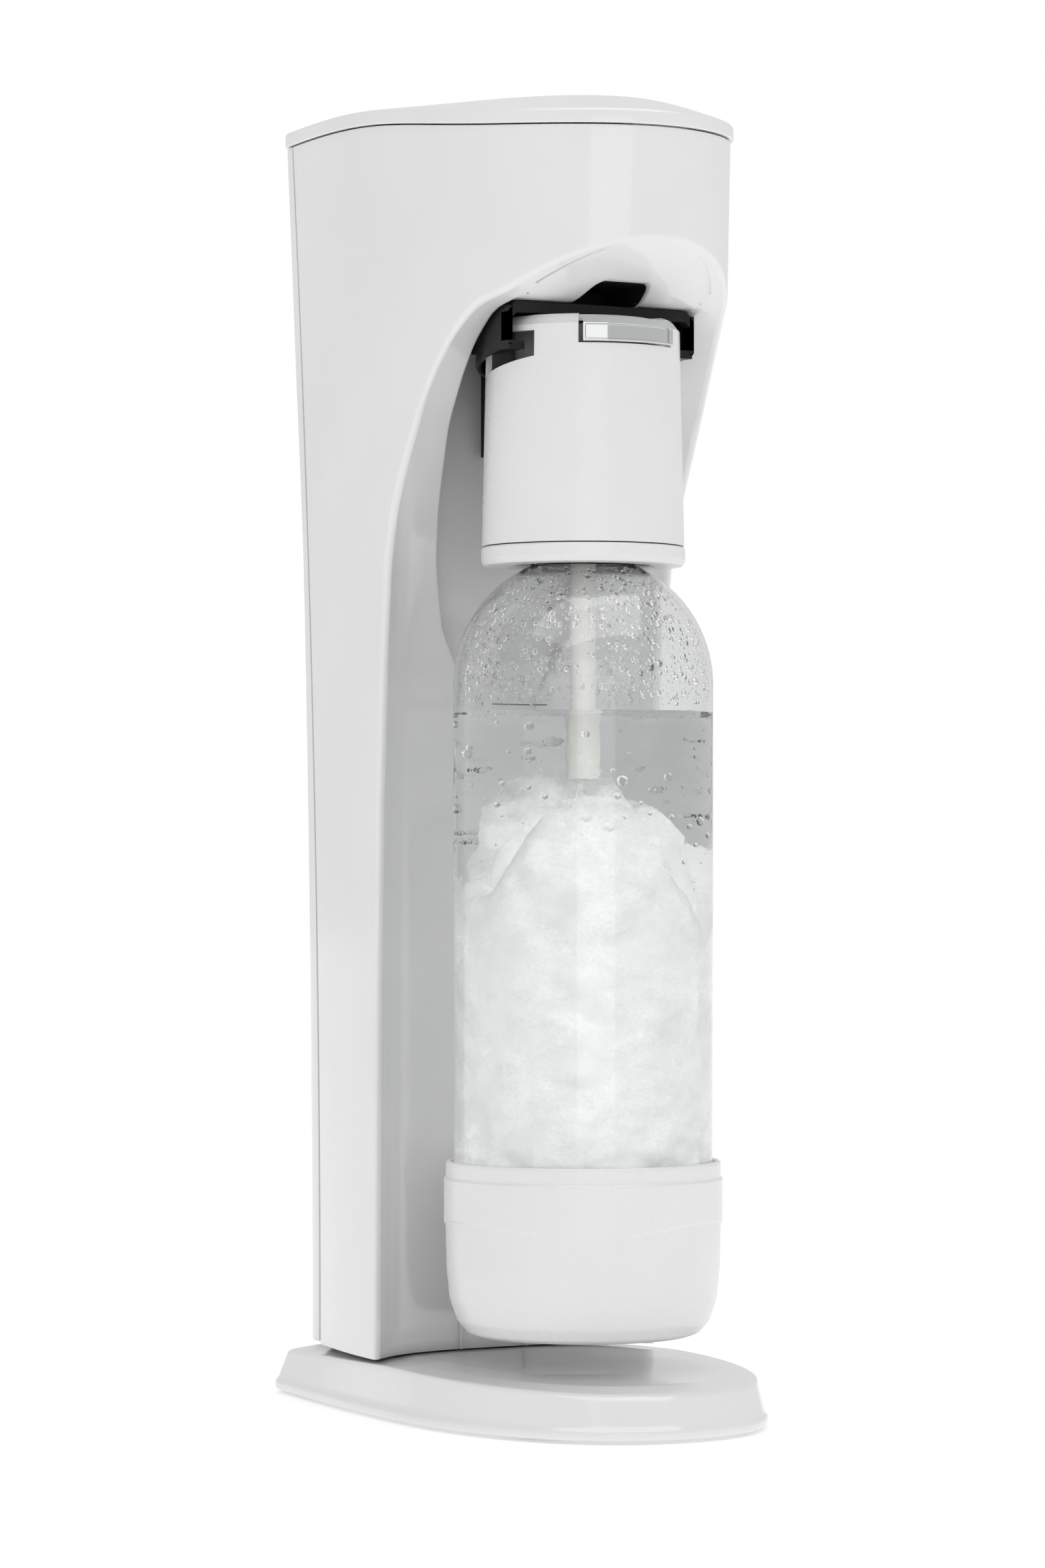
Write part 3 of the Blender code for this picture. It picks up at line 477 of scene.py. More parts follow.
def make_rear_casing():
    """The cover over the gas cylinder, with a faint crease that runs down beside its seam."""
    places = 2.0 + 0.012 + 0.988 * np.linspace(0, 1, 70) ** 1.25
    share = np.linspace(0, 1, 90)
    foot = BASE_TOP + 0.0013
    top = seam_height(plan_point(places, 0.42)[0])
    height = foot + (top - foot)[:, None] * share[None, :]
    place = np.broadcast_to(places[:, None], height.shape)
    normal = body_normal(np.minimum(place, 2.998), height)
    outer = body_point(place, height)
    crease = 2.10 + 0.16 * (0.33 - height) / 0.31
    depth = 0.0006 * smooth_step(place, crease - 0.03, crease) * smooth_step(0.36 - height, 0, 0.08)
    outer = outer - normal * depth[..., None]
    inner = outer - normal * WALL
    loop = rounded_end(outer[:, 0], outer[:, 1], normal[:, 0], SEAM_EDGE)[::-1]
    loop += [outer[:, i] for i in range(1, outer.shape[1] - 1)]
    loop += rounded_end(outer[:, -1], outer[:, -2], normal[:, -1], SEAM_EDGE)
    loop += [inner[:, i] for i in range(inner.shape[1] - 1, -1, -1)]
    loops = np.stack(loop, axis=1)
    left = loops[-2::-1] * np.array([-1.0, 1.0, 1.0])
    return swept_mesh("casing_rear", np.concatenate([loops, left]), angle=60)


def outline_at(z, count=104):
    """The body's whole outline at a height and its outward directions, as four arrays."""
    places = np.concatenate([np.linspace(0, 1, count // 2, endpoint=False),
                             np.linspace(1, 2, count // 4, endpoint=False),
                             2 + np.linspace(0, 1, count // 4)])
    forward, across = plan_point(places, z)
    forward = np.concatenate([forward, forward[-2:0:-1]])
    across = np.concatenate([across, -across[-2:0:-1]])
    along_f = np.roll(forward, -1) - np.roll(forward, 1)
    along_s = np.roll(across, -1) - np.roll(across, 1)
    length = np.hypot(along_f, along_s)
    out_f, out_s = along_s / length, -along_f / length
    return forward, across, out_f, out_s


def make_top_casing():
    """The cover over the head: its rim, its crown and the well that the button sinks into."""
    overhang, rim_height, round_r = 0.0009, 0.0040, 0.0013
    edge_f, edge_s, out_f, out_s = outline_at(0.420)
    low = seam_height(edge_f)
    angle = np.arctan2(edge_s, edge_f - BUTTON_F)
    well_r = BUTTON_R + 0.0006
    gap_edge = 0.0007

    def ring(inset, z):
        return at(edge_f - out_f * inset, edge_s - out_s * inset, z)

    def circle(radius, z):
        return at(BUTTON_F + radius * np.cos(angle), radius * np.sin(angle), z)

    def crown(forward, inset):
        foot = seam_height(forward) + rim_height + round_r
        share = 1 - (1 - np.clip(inset / 0.0255, 0, 1)) ** 1.4
        return foot + (crown_height(forward) - foot) * share

    knots = [ring(0.0012, low + 0.0004), ring(-overhang + 0.0004, low + 0.0004),
             ring(-overhang, low + 0.0008), ring(-overhang, low + rim_height)]
    for turn in np.radians((20, 40, 60, 75)):
        knots.append(ring(-overhang + round_r * (1 - math.cos(turn)),
                          low + rim_height + round_r * math.sin(turn)))
    start = 0.0012
    from_f, from_s = edge_f - out_f * start, edge_s - out_s * start
    to_f = BUTTON_F + (well_r + gap_edge) * np.cos(angle)
    to_s = (well_r + gap_edge) * np.sin(angle)
    for share in np.linspace(0, 1, 26) ** 1.2:
        forward = from_f + (to_f - from_f) * share
        across = from_s + (to_s - from_s) * share
        inset = start + (from_f - forward) * out_f + (from_s - across) * out_s
        knots.append(at(forward, across, crown(forward, inset)))
    lip_z = crown_height(to_f)
    for turn in np.radians((30, 60, 90)):
        knots.append(circle(well_r + gap_edge * (1 - math.sin(turn)),
                            lip_z - gap_edge * (1 - math.cos(turn))))
    knots += [circle(well_r, WELL_FLOOR + 0.0006), circle(well_r - 0.0006, WELL_FLOOR),
              circle(0.0062, WELL_FLOOR), circle(0.0056, WELL_FLOOR - 0.0006),
              circle(0.0056, WELL_FLOOR - 0.0022), circle(well_r + 0.0018, WELL_FLOOR - 0.0022),
              circle(well_r + 0.0018, crown_height(BUTTON_F) - 0.004)]
    knots += [ring(0.0200, low + 0.0062), ring(0.0030, low + 0.0042), ring(0.0018, low + 0.0024)]
    return swept_mesh("casing_top", np.stack(knots, axis=1), closed=True, angle=38)


# ---------------------------------------------------------------- front panel and its bay
BAY_CORNER = 0.0026
WINDOW_TOP, WINDOW_BACK = 0.3690, -0.0050
WINDOW_CORNER = 0.0022
WINDOW_SKIN = 0.0026         # thickness of the wall that shows round the window


def cornered(width, z, top, corner):
    """A half-width with a round upper corner."""
    rise = np.clip((z - (top - corner)) / corner, 0, 1)
    return width - corner * (1 - np.sqrt(1 - rise ** 2))


def bay_half(z):
    """Half-width of the infuser's bay: narrow at its foot, and rounded in at its ceiling."""
    heights = (0.236, 0.244, 0.260, 0.285, 0.308, 0.324, 0.340, 0.364)
    halves = (0.0125, 0.0160, 0.0245, 0.0295, 0.0335, 0.0355, 0.0360, 0.0360)
    width = np.interp(z, heights, halves)
    return cornered(width, z, BAY_TOP, BAY_CORNER)


def window_half(z):
    """Half-width of the window over the release lever."""
    width = np.interp(z, (0.3632, 0.3690), (0.0124, 0.0098))
    return cornered(width, z, WINDOW_TOP, WINDOW_CORNER)


def panel_edge():
    """(heights, half-widths) of the panel: where the rounding round the opening ends."""
    line = arch_fillet(*arch_line())[2][:, -1]
    line[0, 2] = COLUMN_FOOT
    line[-1, 0] = 0.0
    return np.maximum.accumulate(line[:, 2]), line[:, 0]


def panel_rows(top):
    """(z, share of the bay's depth, share of the window's depth) for each row of the panel."""
    rows = [(z, 0.0, 0.0) for z in np.linspace(COLUMN_FOOT, 0.236, 60, endpoint=False)]
    rows += [(z, float(smooth_step(z, 0.234, 0.266)), 0.0)
             for z in np.linspace(0.236, 0.266, 26, endpoint=False)]
    rows += [(z, 1.0, 1.0) for z in np.linspace(0.266, BAY_TOP - BAY_CORNER, 74, endpoint=False)]
    rows += [(BAY_TOP - BAY_CORNER + 0.0023 * t, 1.0, 1.0) for t in np.linspace(0, 1, 8)]
    lip, reach = 0.0011, 0.075
    for share in np.linspace(0.02, 0.98, 14):
        rows.append((BAY_TOP - 0.0003 * (1 - share), 1 - share * (1 - lip / reach), 1.0))
    for turn in np.radians((90, 70, 50, 30, 12)):
        rows.append((BAY_TOP + lip * (1 - math.sin(turn)),
                     lip * (1 - math.cos(turn)) / reach, 1.0))
    rows += [(z, 0.0, 1.0) for z in np.linspace(BAY_TOP + lip, WINDOW_TOP - WINDOW_CORNER, 6)]
    rows += [(z, 0.0, 1.0) for z in WINDOW_TOP - WINDOW_CORNER + 0.0020 * np.linspace(0.1, 1, 9)]
    for share in np.linspace(0.1, 1, 6):
        rows.append((WINDOW_TOP - 0.0002 * (1 - share), 0.0, 1 - share * 0.97))
    rows += [(WINDOW_TOP + 0.0002, 0.0, 0.012), (WINDOW_TOP + 0.0005, 0.0, 0.0)]
    shares = 1 - (1 - np.linspace(0, 1, 46)[1:]) ** 2
    rows += [(WINDOW_TOP + 0.0005 + (top - WINDOW_TOP - 0.0005) * t, 0.0, 0.0) for t in shares]
    return np.array(rows)


def panel_half_grid():
    """(forward, across, z) of the panel's right half: edge, band, bay and window columns."""
    edge_z, edge_half = panel_edge()
    z, bay, window = (column[:, None] for column in panel_rows(edge_z[-1]).T)
    edge = np.interp(z, edge_z, edge_half)
    lip, corner, window_lip = 0.0015, 0.0022, 0.0007
    half = np.minimum(bay_half(z), 0.9 * edge)
    narrow = np.minimum(window_half(z), 0.3 * edge)
    lip = np.minimum(lip, 0.05 * edge)
    floor = np.minimum(BAY_BACK, face_forward(half, z))
    depth = (face_forward(half, z) - floor) * bay

    def inside(across):
        face = face_forward(across, z)
        return face + (np.minimum(BAY_BACK, face) - face) * bay

    columns = []
    for share in np.linspace(0, 1, 26, endpoint=False):
        across = edge + (half + lip - edge) * share
        columns.append((face_forward(across, z), across))
    for turn in np.radians(np.linspace(0, 90, 7)):
        across = half + lip * (1 - math.sin(turn))
        columns.append((face_forward(across, z)
                        - np.minimum(lip, depth) * (1 - math.cos(turn)), across))
    round_in = np.minimum(corner, depth * 0.3)
    start = face_forward(half, z) - np.minimum(lip, depth)
    draft = np.minimum(0.0003, 0.01 * edge)
    for share in np.linspace(0, 1, 10)[1:]:
        across = half - draft * share
        columns.append((start + (inside(half) + round_in - start) * share, across))
    for turn in np.radians(np.linspace(0, 90, 6)[1:]):
        across = half - draft - round_in * (1 - math.cos(turn))
        columns.append((inside(across) + round_in * (1 - math.sin(turn)), across))
    window_lip = np.minimum(window_lip, 0.02 * edge)
    begin = half - draft - round_in
    for share in np.linspace(0, 1, 12)[1:]:
        across = begin + (narrow + window_lip - begin) * share
        columns.append((inside(across), across))
    sunk = np.maximum(inside(narrow) - WINDOW_BACK, 0.0) * window
    for turn in np.radians(np.linspace(0, 90, 5)[1:]):
        across = narrow + window_lip * (1 - math.sin(turn))
        columns.append((inside(across)
                        - np.minimum(window_lip, sunk) * (1 - math.cos(turn)), across))
    top = inside(narrow) - np.minimum(window_lip, sunk)
    skin = np.minimum(WINDOW_SKIN, sunk) - np.minimum(window_lip, sunk)
    for share in (0.5, 1.0):
        columns.append((top - skin * share, narrow))
    for share in (0.1, 0.5, 1.0):
        across = narrow + 0.0006 * (1 - 0.5 * share) * np.minimum(window, 1) * (sunk > 0)
        columns.append((top - skin + (inside(narrow) - sunk - top + skin) * share, across))
    for share in np.linspace(0, 1, 7)[1:]:
        across = narrow * 0.99 * (1 - share)
        columns.append((inside(across) - np.maximum(inside(across) - WINDOW_BACK, 0) * window,
                        across))
    forward = np.concatenate([np.broadcast_to(c[0], z.shape) for c in columns], axis=1)
    across = np.concatenate([np.broadcast_to(c[1], z.shape) for c in columns], axis=1)
    return forward, across, np.broadcast_to(z, forward.shape)


def make_front_panel():
    forward, across, z = panel_half_grid()
    right = at(forward, across, z)
    left = right[:, -2::-1] * np.array([-1.0, 1.0, 1.0])
    panel = sheet_mesh("front_panel", np.concatenate([right, left], axis=1), angle=60)
    mesh = panel.data
    if sum(face.normal.y * face.area for face in mesh.polygons) > 0:
        mesh.flip_normals()
    return thickened(panel, 0.0010)


def paint_window_shade(panel, dark):
    """The window over the lever is painted black inside: painted shade for the dark hollow of the
    head behind it.
    """
    panel.data.materials.append(dark)
    for face in panel.data.polygons:
        f = AXIS_Y - face.center.y
        in_window = abs(face.center.x) < 0.0136 and BAY_TOP < face.center.z < WINDOW_TOP + 0.0001
        surface = float(face_forward(face.center.x, face.center.z))
        if in_window and f < surface - WINDOW_SKIN - 0.0001:
            # These deep faces take the black material as painted shade.
            face.material_index = 1


# ---------------------------------------------------------------- base
def base_outline(nose, half, corner, corner_half, back, count=60):
    """A plan outline of the base: round nose, widest beside the bottle, bulging back."""
    middle, front_power, back_power = -0.020, 2.25, 2.6
    turn = np.linspace(0, math.pi / 2, count)
    f = [middle + (nose - middle) * np.cos(turn) ** (2 / front_power)]
    s = [half * np.sin(turn) ** (2 / front_power)]
    run = np.linspace(0, 1, count // 2)[1:]
    f.append(middle + (corner - middle) * run)
    s.append(half - (half - corner_half) * run ** 1.7)
    turn = np.linspace(0, math.pi / 2, count // 2)[1:]
    f.append(corner + (back - corner) * np.sin(turn) ** (2 / back_power))
    s.append(corner_half * np.maximum(np.cos(turn), 0) ** (2 / back_power))
    f, s = np.concatenate(f), np.concatenate(s)
    return np.concatenate([f, f[-2:0:-1]]), np.concatenate([s, -s[-2:0:-1]])


def moved_in(outline, distance):
    f, s = outline
    along_f, along_s = np.roll(f, -1) - np.roll(f, 1), np.roll(s, -1) - np.roll(s, 1)
    length = np.maximum(np.hypot(along_f, along_s), 1e-9)
    return f - along_s / length * distance, s + along_f / length * distance


def drawn_in(outline, share):
    """An outline scaled towards the base's middle."""
    f, s = outline
    return (f + 0.035) * share - 0.035, s * share


def make_base():
    rim = base_outline(0.069, 0.058, -0.117, 0.050, -0.140)
    top = base_outline(0.0625, 0.055, -0.112, 0.047, -0.1335)

    def level(outline, z):
        return at(outline[0], outline[1], z)

    def crowned(outline, share):
        f, s = outline
        edge = 0.0176 - 0.0028 * np.abs((f + 0.030) / 0.092) ** 1.3
        return at(f, s, BASE_TOP - (BASE_TOP - edge) * share)

    knots = [level(drawn_in(rim, 0.0), 0.0028), level(drawn_in(rim, 0.5), 0.0028),
             level(moved_in(rim, 0.0034), 0.0028), level(moved_in(rim, 0.0026), 0.0010),
             level(moved_in(rim, 0.0006), 0.0010), level(rim, 0.0016), level(rim, 0.0038),
             level(moved_in(rim, 0.0009), 0.0048), crowned(moved_in(top, -0.0008), 1.25),
             crowned(moved_in(top, 0.0006), 1.0), crowned(moved_in(top, 0.010), 0.5),
             crowned(drawn_in(top, 0.62), 0.1), level(drawn_in(top, 0.3), BASE_TOP),
             level(drawn_in(top, 0.0), BASE_TOP)]
    grid = softened(np.stack(knots, axis=1), 0.0006, 0.0005)
    return sheet_mesh("base_moulding", grid, wrap_rows=True, angle=60)


# ---------------------------------------------------------------- infuser
NOTCH_TURN = 33.4            # half-angle of the notch for the release lever, in degrees
GROOVE = (60.4, 116.0)       # angles of the grooves that the carriage hooks into
GROOVE_LOW, GROOVE_TOP = 0.3450, 0.3533
GROOVE_SLOPE = 0.163         # how fast the grooves' lower edges drop towards the back
NOTCH_Z = 0.3488


def sleeve_turns():
    """Angles round the sleeve, from the front, with one on every edge of its cut-outs."""
    edges = [0, NOTCH_TURN, GROOVE[0], GROOVE[1], 180]
    turns = []
    for a, b in zip(edges, edges[1:]):
        count = max(2, int((b - a) / 2.0))
        turns += list(np.linspace(a, b, count, endpoint=False))
    right = turns + [180.0]
    return np.array(right + [360 - t for t in reversed(right[1:-1])])


def sleeve_radius(z):
    chamfer = SLEEVE_TOP - 0.0034
    side = 0.0331 - 0.0015 * (z - SLEEVE_BOTTOM) / (chamfer - SLEEVE_BOTTOM)
    return np.where(z > chamfer, 0.0316 - 0.0024 * (z - chamfer) / 0.0028, side)


def make_sleeve():
    """The infuser's skirt and lid, open at the lever's notch and at its two side grooves."""
    top, low = SLEEVE_TOP, SLEEVE_BOTTOM
    degrees = sleeve_turns()
    turn = np.radians(degrees)
    line = GROOVE_LOW - GROOVE_SLOPE * np.maximum(0.0158 - 0.032 * np.cos(turn), 0)
    spans = ((low, line, 24), (line, NOTCH_Z, 5), (NOTCH_Z, GROOVE_TOP, 5),
             (GROOVE_TOP, top - 0.0038, 2), (top - 0.0038, top - 0.0030, 5),
             (top - 0.0030, top - 0.0010, 3), (top - 0.0010, top - 0.0006, 2))
    rows = []
    for start, end, count in spans:
        for share in np.linspace(0, 1, count, endpoint=False):
            rows.append(np.broadcast_to(start + (end - start) * share, turn.shape))
    z = np.stack(rows, axis=1)
    radius = blurred(sleeve_radius(z)[..., None], 0.8)[..., 0]
    lid = np.array([(0.0292, -0.0006), (0.0289, -0.0003), (0.0284, -0.0001), (0.0276, 0.0),
                    (0.0240, 0.0), (0.0150, 0.0), (0.0062, 0.0)])
    z = np.concatenate([z, np.broadcast_to(top + lid[:, 1], (len(turn), len(lid)))], axis=1)
    radius = np.concatenate([radius, np.broadcast_to(lid[:, 0], (len(turn), len(lid)))], axis=1)
    grid = at(radius * np.cos(turn)[:, None], radius * np.sin(turn)[:, None], z)
    rows, cols = grid.shape[:2]
    faces = []
    for a, b, c, d in grid_faces(rows, cols, wrap_rows=True):
        i, j = a // cols, a % cols
        follow = degrees[(i + 1) % rows] or 360.0
        middle = (degrees[i] + follow) / 2
        middle = min(middle, 360 - middle)
        height = z[i, j:j + 2].mean()
        in_notch = middle < NOTCH_TURN and height > NOTCH_Z and radius[i, j] > 0.0240
        in_groove = (GROOVE[0] < middle < GROOVE[1] and height < GROOVE_TOP
                     and height > (line[i] + line[(i + 1) % rows]) / 2)
        if not (in_notch or in_groove):
            faces.append((a, b, c, d))
    sleeve = object_from("infuser_skirt", grid.reshape(-1, 3), faces, angle=60)
    mesh = sleeve.data
    if sum((f.center - Vector((0, AXIS_Y, f.center.z))).dot(f.normal) for f in mesh.polygons) < 0:
        mesh.flip_normals()
    return rounded_edges(thickened(sleeve, 0.0020), 0.0003, 3, 50)


def make_ring():
    return turned("infuser_foot_ring",
                  [(0.0329, 0.2847), (0.0334, 0.2842), (0.0334, 0.2806), (0.0326, 0.2788),
                   (0.0319, 0.2786), (0.0236, 0.2786), (0.0223, 0.2792), (0.0223, 0.2809),
                   (0.0304, 0.2809), (0.0304, 0.2847)], sigma=0.0002)


def make_release_lever():
    """The plated lever: a raised frame round a sunk window, under a lip that leans back."""
    low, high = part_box("release_lever")
    front, back, half_turn = 0.0332, 0.0300, 30.6
    turns = np.concatenate([np.linspace(-half_turn, -half_turn + 1.7, 8, endpoint=False),
                            np.linspace(-half_turn + 1.7, half_turn - 1.7, 40),
                            np.linspace(half_turn - 1.7, half_turn, 9)[1:]])
    heights = np.concatenate([np.linspace(low.z, low.z + 0.0013, 9, endpoint=False),
                              np.linspace(low.z + 0.0013, high.z - 0.0028, 12),
                              np.linspace(high.z - 0.0028, high.z - 0.0012, 10)[1:],
                              np.linspace(high.z - 0.0012, high.z, 6)[1:]])
    sink = 0.0009
    outer = []
    for z in heights:
        inside = (smooth_step(z, low.z + 0.0007, low.z + 0.0010)
                  * smooth_step(high.z - 0.0024 - z, 0.0, 0.0003))
        lean = 0.0017 * np.clip((z - (high.z - 0.0021)) / 0.0021, 0, 1)
        rounding = 0.0003 * (1 - smooth_step(z, low.z, low.z + 0.0004))
        ends = smooth_step(half_turn - np.abs(turns), 1.0, 1.5)
        outer.append(front - lean - rounding - sink * inside * ends)
    outer = np.array(outer).T                       # (turns, heights)
    turn = np.radians(turns)[:, None]
    face = at(outer * np.cos(turn), outer * np.sin(turn), heights[None, :])
    rear = at(np.full_like(outer, back) * np.cos(turn), np.full_like(outer, back) * np.sin(turn),
              heights[None, :])
    loops = np.concatenate([face, rear[:, ::-1]], axis=1)
    return swept_mesh("lever_plated", loops, angle=32)


# ---------------------------------------------------------------- carriage
def prism(name, outline, near, far, along_x):
    """A flat outline of (forward or across, z) points pushed across or forwards."""
    bm = bmesh.new()
    ends = []
    for place in (near, far):
        points = [at(a, place, z) if along_x else at(place, a, z) for a, z in outline]
        ends.append([bm.verts.new(tuple(p)) for p in points])
    bm.faces.new(ends[0])
    bm.faces.new(ends[1])
    for i in range(len(outline)):
        j = (i + 1) % len(outline)
        bm.faces.new((ends[0][i], ends[0][j], ends[1][j], ends[1][i]))
    bm.normal_update()
    bmesh.ops.recalc_face_normals(bm, faces=bm.faces)
    mesh = bpy.data.meshes.new(name)
    bm.to_mesh(mesh)
    bm.free()
    obj = bpy.data.objects.new(name, mesh)
    bpy.context.scene.collection.objects.link(obj)
    return obj


def united(base, parts, cutters=()):
    """The union of several solids less their cutters, as one applied mesh."""
    for other in parts:
        mod = base.modifiers.new("join", "BOOLEAN")
        mod.operation, mod.solver, mod.object = "UNION", "EXACT", other
    for other in cutters:
        mod = base.modifiers.new("cut", "BOOLEAN")
        mod.operation, mod.solver, mod.object = "DIFFERENCE", "EXACT", other
    applied(base)
    for other in list(parts) + list(cutters):
        bpy.data.objects.remove(other, do_unlink=True)
    return base


def applied(obj):
    """The object with its modifiers made part of its mesh."""
    bpy.context.view_layer.update()
    source = obj.evaluated_get(bpy.context.evaluated_depsgraph_get())
    obj.data = bpy.data.meshes.new_from_object(source)
    obj.modifiers.clear()
    return obj


def make_collar():
    """The carriage's collar: two straight sides and a half ring, with a sloping lower rim."""
    low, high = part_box("carriage")
    front, outer, wall = AXIS_Y - low.y, high.x, 0.0016
    turns = np.radians(np.linspace(90, 270, 73))
    f = np.concatenate([np.linspace(front, 0, 7)[:-1], outer * np.cos(turns),
                        np.linspace(0, front, 7)[1:]])
    s = np.concatenate([np.full(6, outer), outer * np.sin(turns), np.full(6, -outer)])
    share = (outer - wall) / outer
    inner_f = np.where(f < 0, f * share, f)
    inner_s = np.concatenate([s[:6] - wall, s[6:-6] * share, s[-6:] + wall])
    rim = 0.3484 - 0.17 * (front - f)
    middle_f, middle_s = (f + inner_f) / 2, (s + inner_s) / 2
    rows = [(f, s, 0.3612), (f, s, rim + 0.0008), (f * 0.25 + middle_f * 0.75,
            s * 0.25 + middle_s * 0.75, rim), (inner_f, inner_s, rim + 0.0004),
            (inner_f, inner_s, 0.3612)]
    loops = np.stack([at(a, b, c) for a, b, c in rows], axis=1)
    return swept_mesh("carriage_bracket", loops, angle=30)


def make_carriage():
    """The black bracket in the bay: a ceiling, a collar with hooks, a back and a spine."""
    low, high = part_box("carriage")
    front, back, half, top = AXIS_Y - low.y, AXIS_Y - high.y, high.x, high.z
    plate = [(-half + 0.0002, 0.3604), (half - 0.0002, 0.3604), (half - 0.0012, top),
             (-half + 0.0012, top)]
    corner = [(half - 0.0030, top), (half, top - 0.0036), (half, 0.3500)]
    inside = [(half - 0.0016, 0.3500), (half - 0.0016, 0.3576), (half - 0.0034, 0.3592)]
    hoop = corner + inside
    hoop += [(-s, z) for s, z in reversed(hoop)]
    parts = [prism("ceiling", plate, back, front - 0.0030, along_x=False),
             prism("front_hoop", hoop, front - 0.0046, front, along_x=False),
             prism("carriage_back", [(-0.029, 0.3525), (0.029, 0.3525), (0.029, 0.3615),
                                     (-0.029, 0.3615)], back, back + 0.0025, along_x=False),
             prism("carriage_spine", [(-0.0065, 0.3180), (0.0065, 0.3180), (0.0065, 0.3535),
                                      (-0.0065, 0.3535)], back, back + 0.0025, along_x=False)]
    for side in (-1, 1):
        hook = [(-0.0120, 0.3473), (front - 0.0002, 0.3473), (front - 0.0002, 0.3500),
                (-0.0120, 0.3500)]
        near, far = sorted((side * 0.0290, side * (half - 0.0006)))
        parts.append(prism("hook", hook, near, far, along_x=True))
    bore = turned("port_way", [(0.0033, 0.004), (0.0033, -0.004), (0, -0.004), (0, 0.004)],
                  columns=32, sigma=0, ring=True)
    bore.data.transform(Matrix.Translation((0.0, -AXIS_Y, 0.0)))
    bore.data.transform(Matrix.Rotation(math.pi / 2, 4, "X"))
    bore.data.transform(Matrix.Translation((0.0, AXIS_Y - back - 0.0012, PORT_Z)))
    bracket = rounded_edges(united(make_collar(), parts, [bore]), 0.0003, 2, 40)
    bracket.data.shade_smooth()
    return bracket


# ---------------------------------------------------------------- button and spring
def make_button():
    top, rim = BUTTON_TOP, BUTTON_R
    skirt, foot = top - 0.0060, BUTTON_LOW.z
    return turned("button_cap",
                  [(0.0, top), (rim * 0.7, top - 0.0002), (rim - 0.0012, top - 0.0007),
                   (rim, top - 0.0018), (rim, skirt), (rim - 0.002, skirt),
                   (rim - 0.002, top - 0.0040), (0.005, top - 0.0045), (0.005, foot + 0.0022),
                   (0.003, foot), (0.0, foot)], forward=BUTTON_F, ring=False, columns=160,
                  sigma=0.0004)


def make_spring():
    """A closed-end coil under the button."""
    wire, sides, per_turn = 0.0006, 10, 40
    radius = (SPRING_HIGH.x - SPRING_LOW.x) / 2 - wire
    low, high = SPRING_LOW.z + wire, SPRING_HIGH.z - wire
    turns = 4.0
    t = np.linspace(0, 1, int(turns * per_turn) + 1)
    rise = np.interp(t, (0, 0.16, 0.84, 1), (0, 0.05, 0.95, 1))
    rise = blurred(rise[None, :, None], 6)[0, :, 0]
    angle = 2 * math.pi * turns * t
    centre = at(BUTTON_F + radius * np.cos(angle), radius * np.sin(angle), low + (high - low) * rise)
    outward = at(np.cos(angle), np.sin(angle), 0) - at(0, 0, 0)
    around = np.linspace(0, 2 * math.pi, sides, endpoint=False)
    loops = np.stack([centre + outward * wire * math.cos(a) + np.array([0, 0, wire * math.sin(a)])
                      for a in around], axis=1)
    return swept_mesh("return_spring", loops, angle=70)


# ---------------------------------------------------------------- bottle and its cup
FOOT_Z = 0.0760              # centre of the bottle's round foot, inside the cup


def bottle_profile():
    outside = [(0.0136, MOUTH_Z), (0.0142, MOUTH_Z - 0.0006), (0.0142, 0.2970), (0.0158, 0.2962),
               (0.0142, 0.2950), (0.0142, 0.2920), (0.0158, 0.2912), (0.0142, 0.2900),
               (0.0142, 0.2860), (0.0176, 0.2852), (0.0176, 0.2837), (0.0158, 0.2828)]
    outside += arc(BOTTLE_R, DOME_Z, 66, 0, 40)
    outside += arc(BOTTLE_R - 0.0003, FOOT_Z, 0, -80, 24)
    inner_foot = BOTTLE_R - 0.0003 - BOTTLE_WALL
    inside = arc(inner_foot, FOOT_Z, -80, 0, 24)
    inside += arc(BOTTLE_R - BOTTLE_WALL, DOME_Z, 0, 70, 40)
    inside += [(0.0118, 0.2830), (0.0118, MOUTH_Z)]
    low = FOOT_Z - BOTTLE_R + 0.0003
    return outside + [(0.0, low), (0.0, low + BOTTLE_WALL)] + inside


def make_bottle():
    return turned("bottle_clear", bottle_profile(), columns=160, sigma=0.0003, spacing=0.0005,
                  angle=60)


def inner_radius(z):
    """The bottle's inner radius at a height."""
    dome = np.sqrt(np.maximum((BOTTLE_R - BOTTLE_WALL) ** 2 - np.maximum(z - DOME_Z, 0) ** 2, 0))
    foot_r = BOTTLE_R - 0.0003 - BOTTLE_WALL
    foot = np.sqrt(np.maximum(foot_r ** 2 - np.minimum(z - FOOT_Z, 0) ** 2, 0))
    share = np.clip((z - FOOT_Z) / (DOME_Z - FOOT_Z), 0, 1)
    straight = foot_r + (BOTTLE_R - BOTTLE_WALL - foot_r) * share
    return np.where(z > DOME_Z, dome, np.where(z < FOOT_Z, foot, straight))


def waves(turn, radius, seed, height):
    """A sum of ripples over a disc, for a restless surface."""
    draw = random.Random(seed)
    total = np.zeros(np.broadcast(turn, radius).shape)
    x, y = radius * np.cos(turn), radius * np.sin(turn)
    for _ in range(14):
        heading = draw.uniform(0, 2 * math.pi)
        length = draw.uniform(0.006, 0.030)
        phase = draw.uniform(0, 2 * math.pi)
        total += np.sin((x * math.cos(heading) + y * math.sin(heading)) * 2 * math.pi / length
                        + phase) * (length / 0.03)
    return total * height / 4


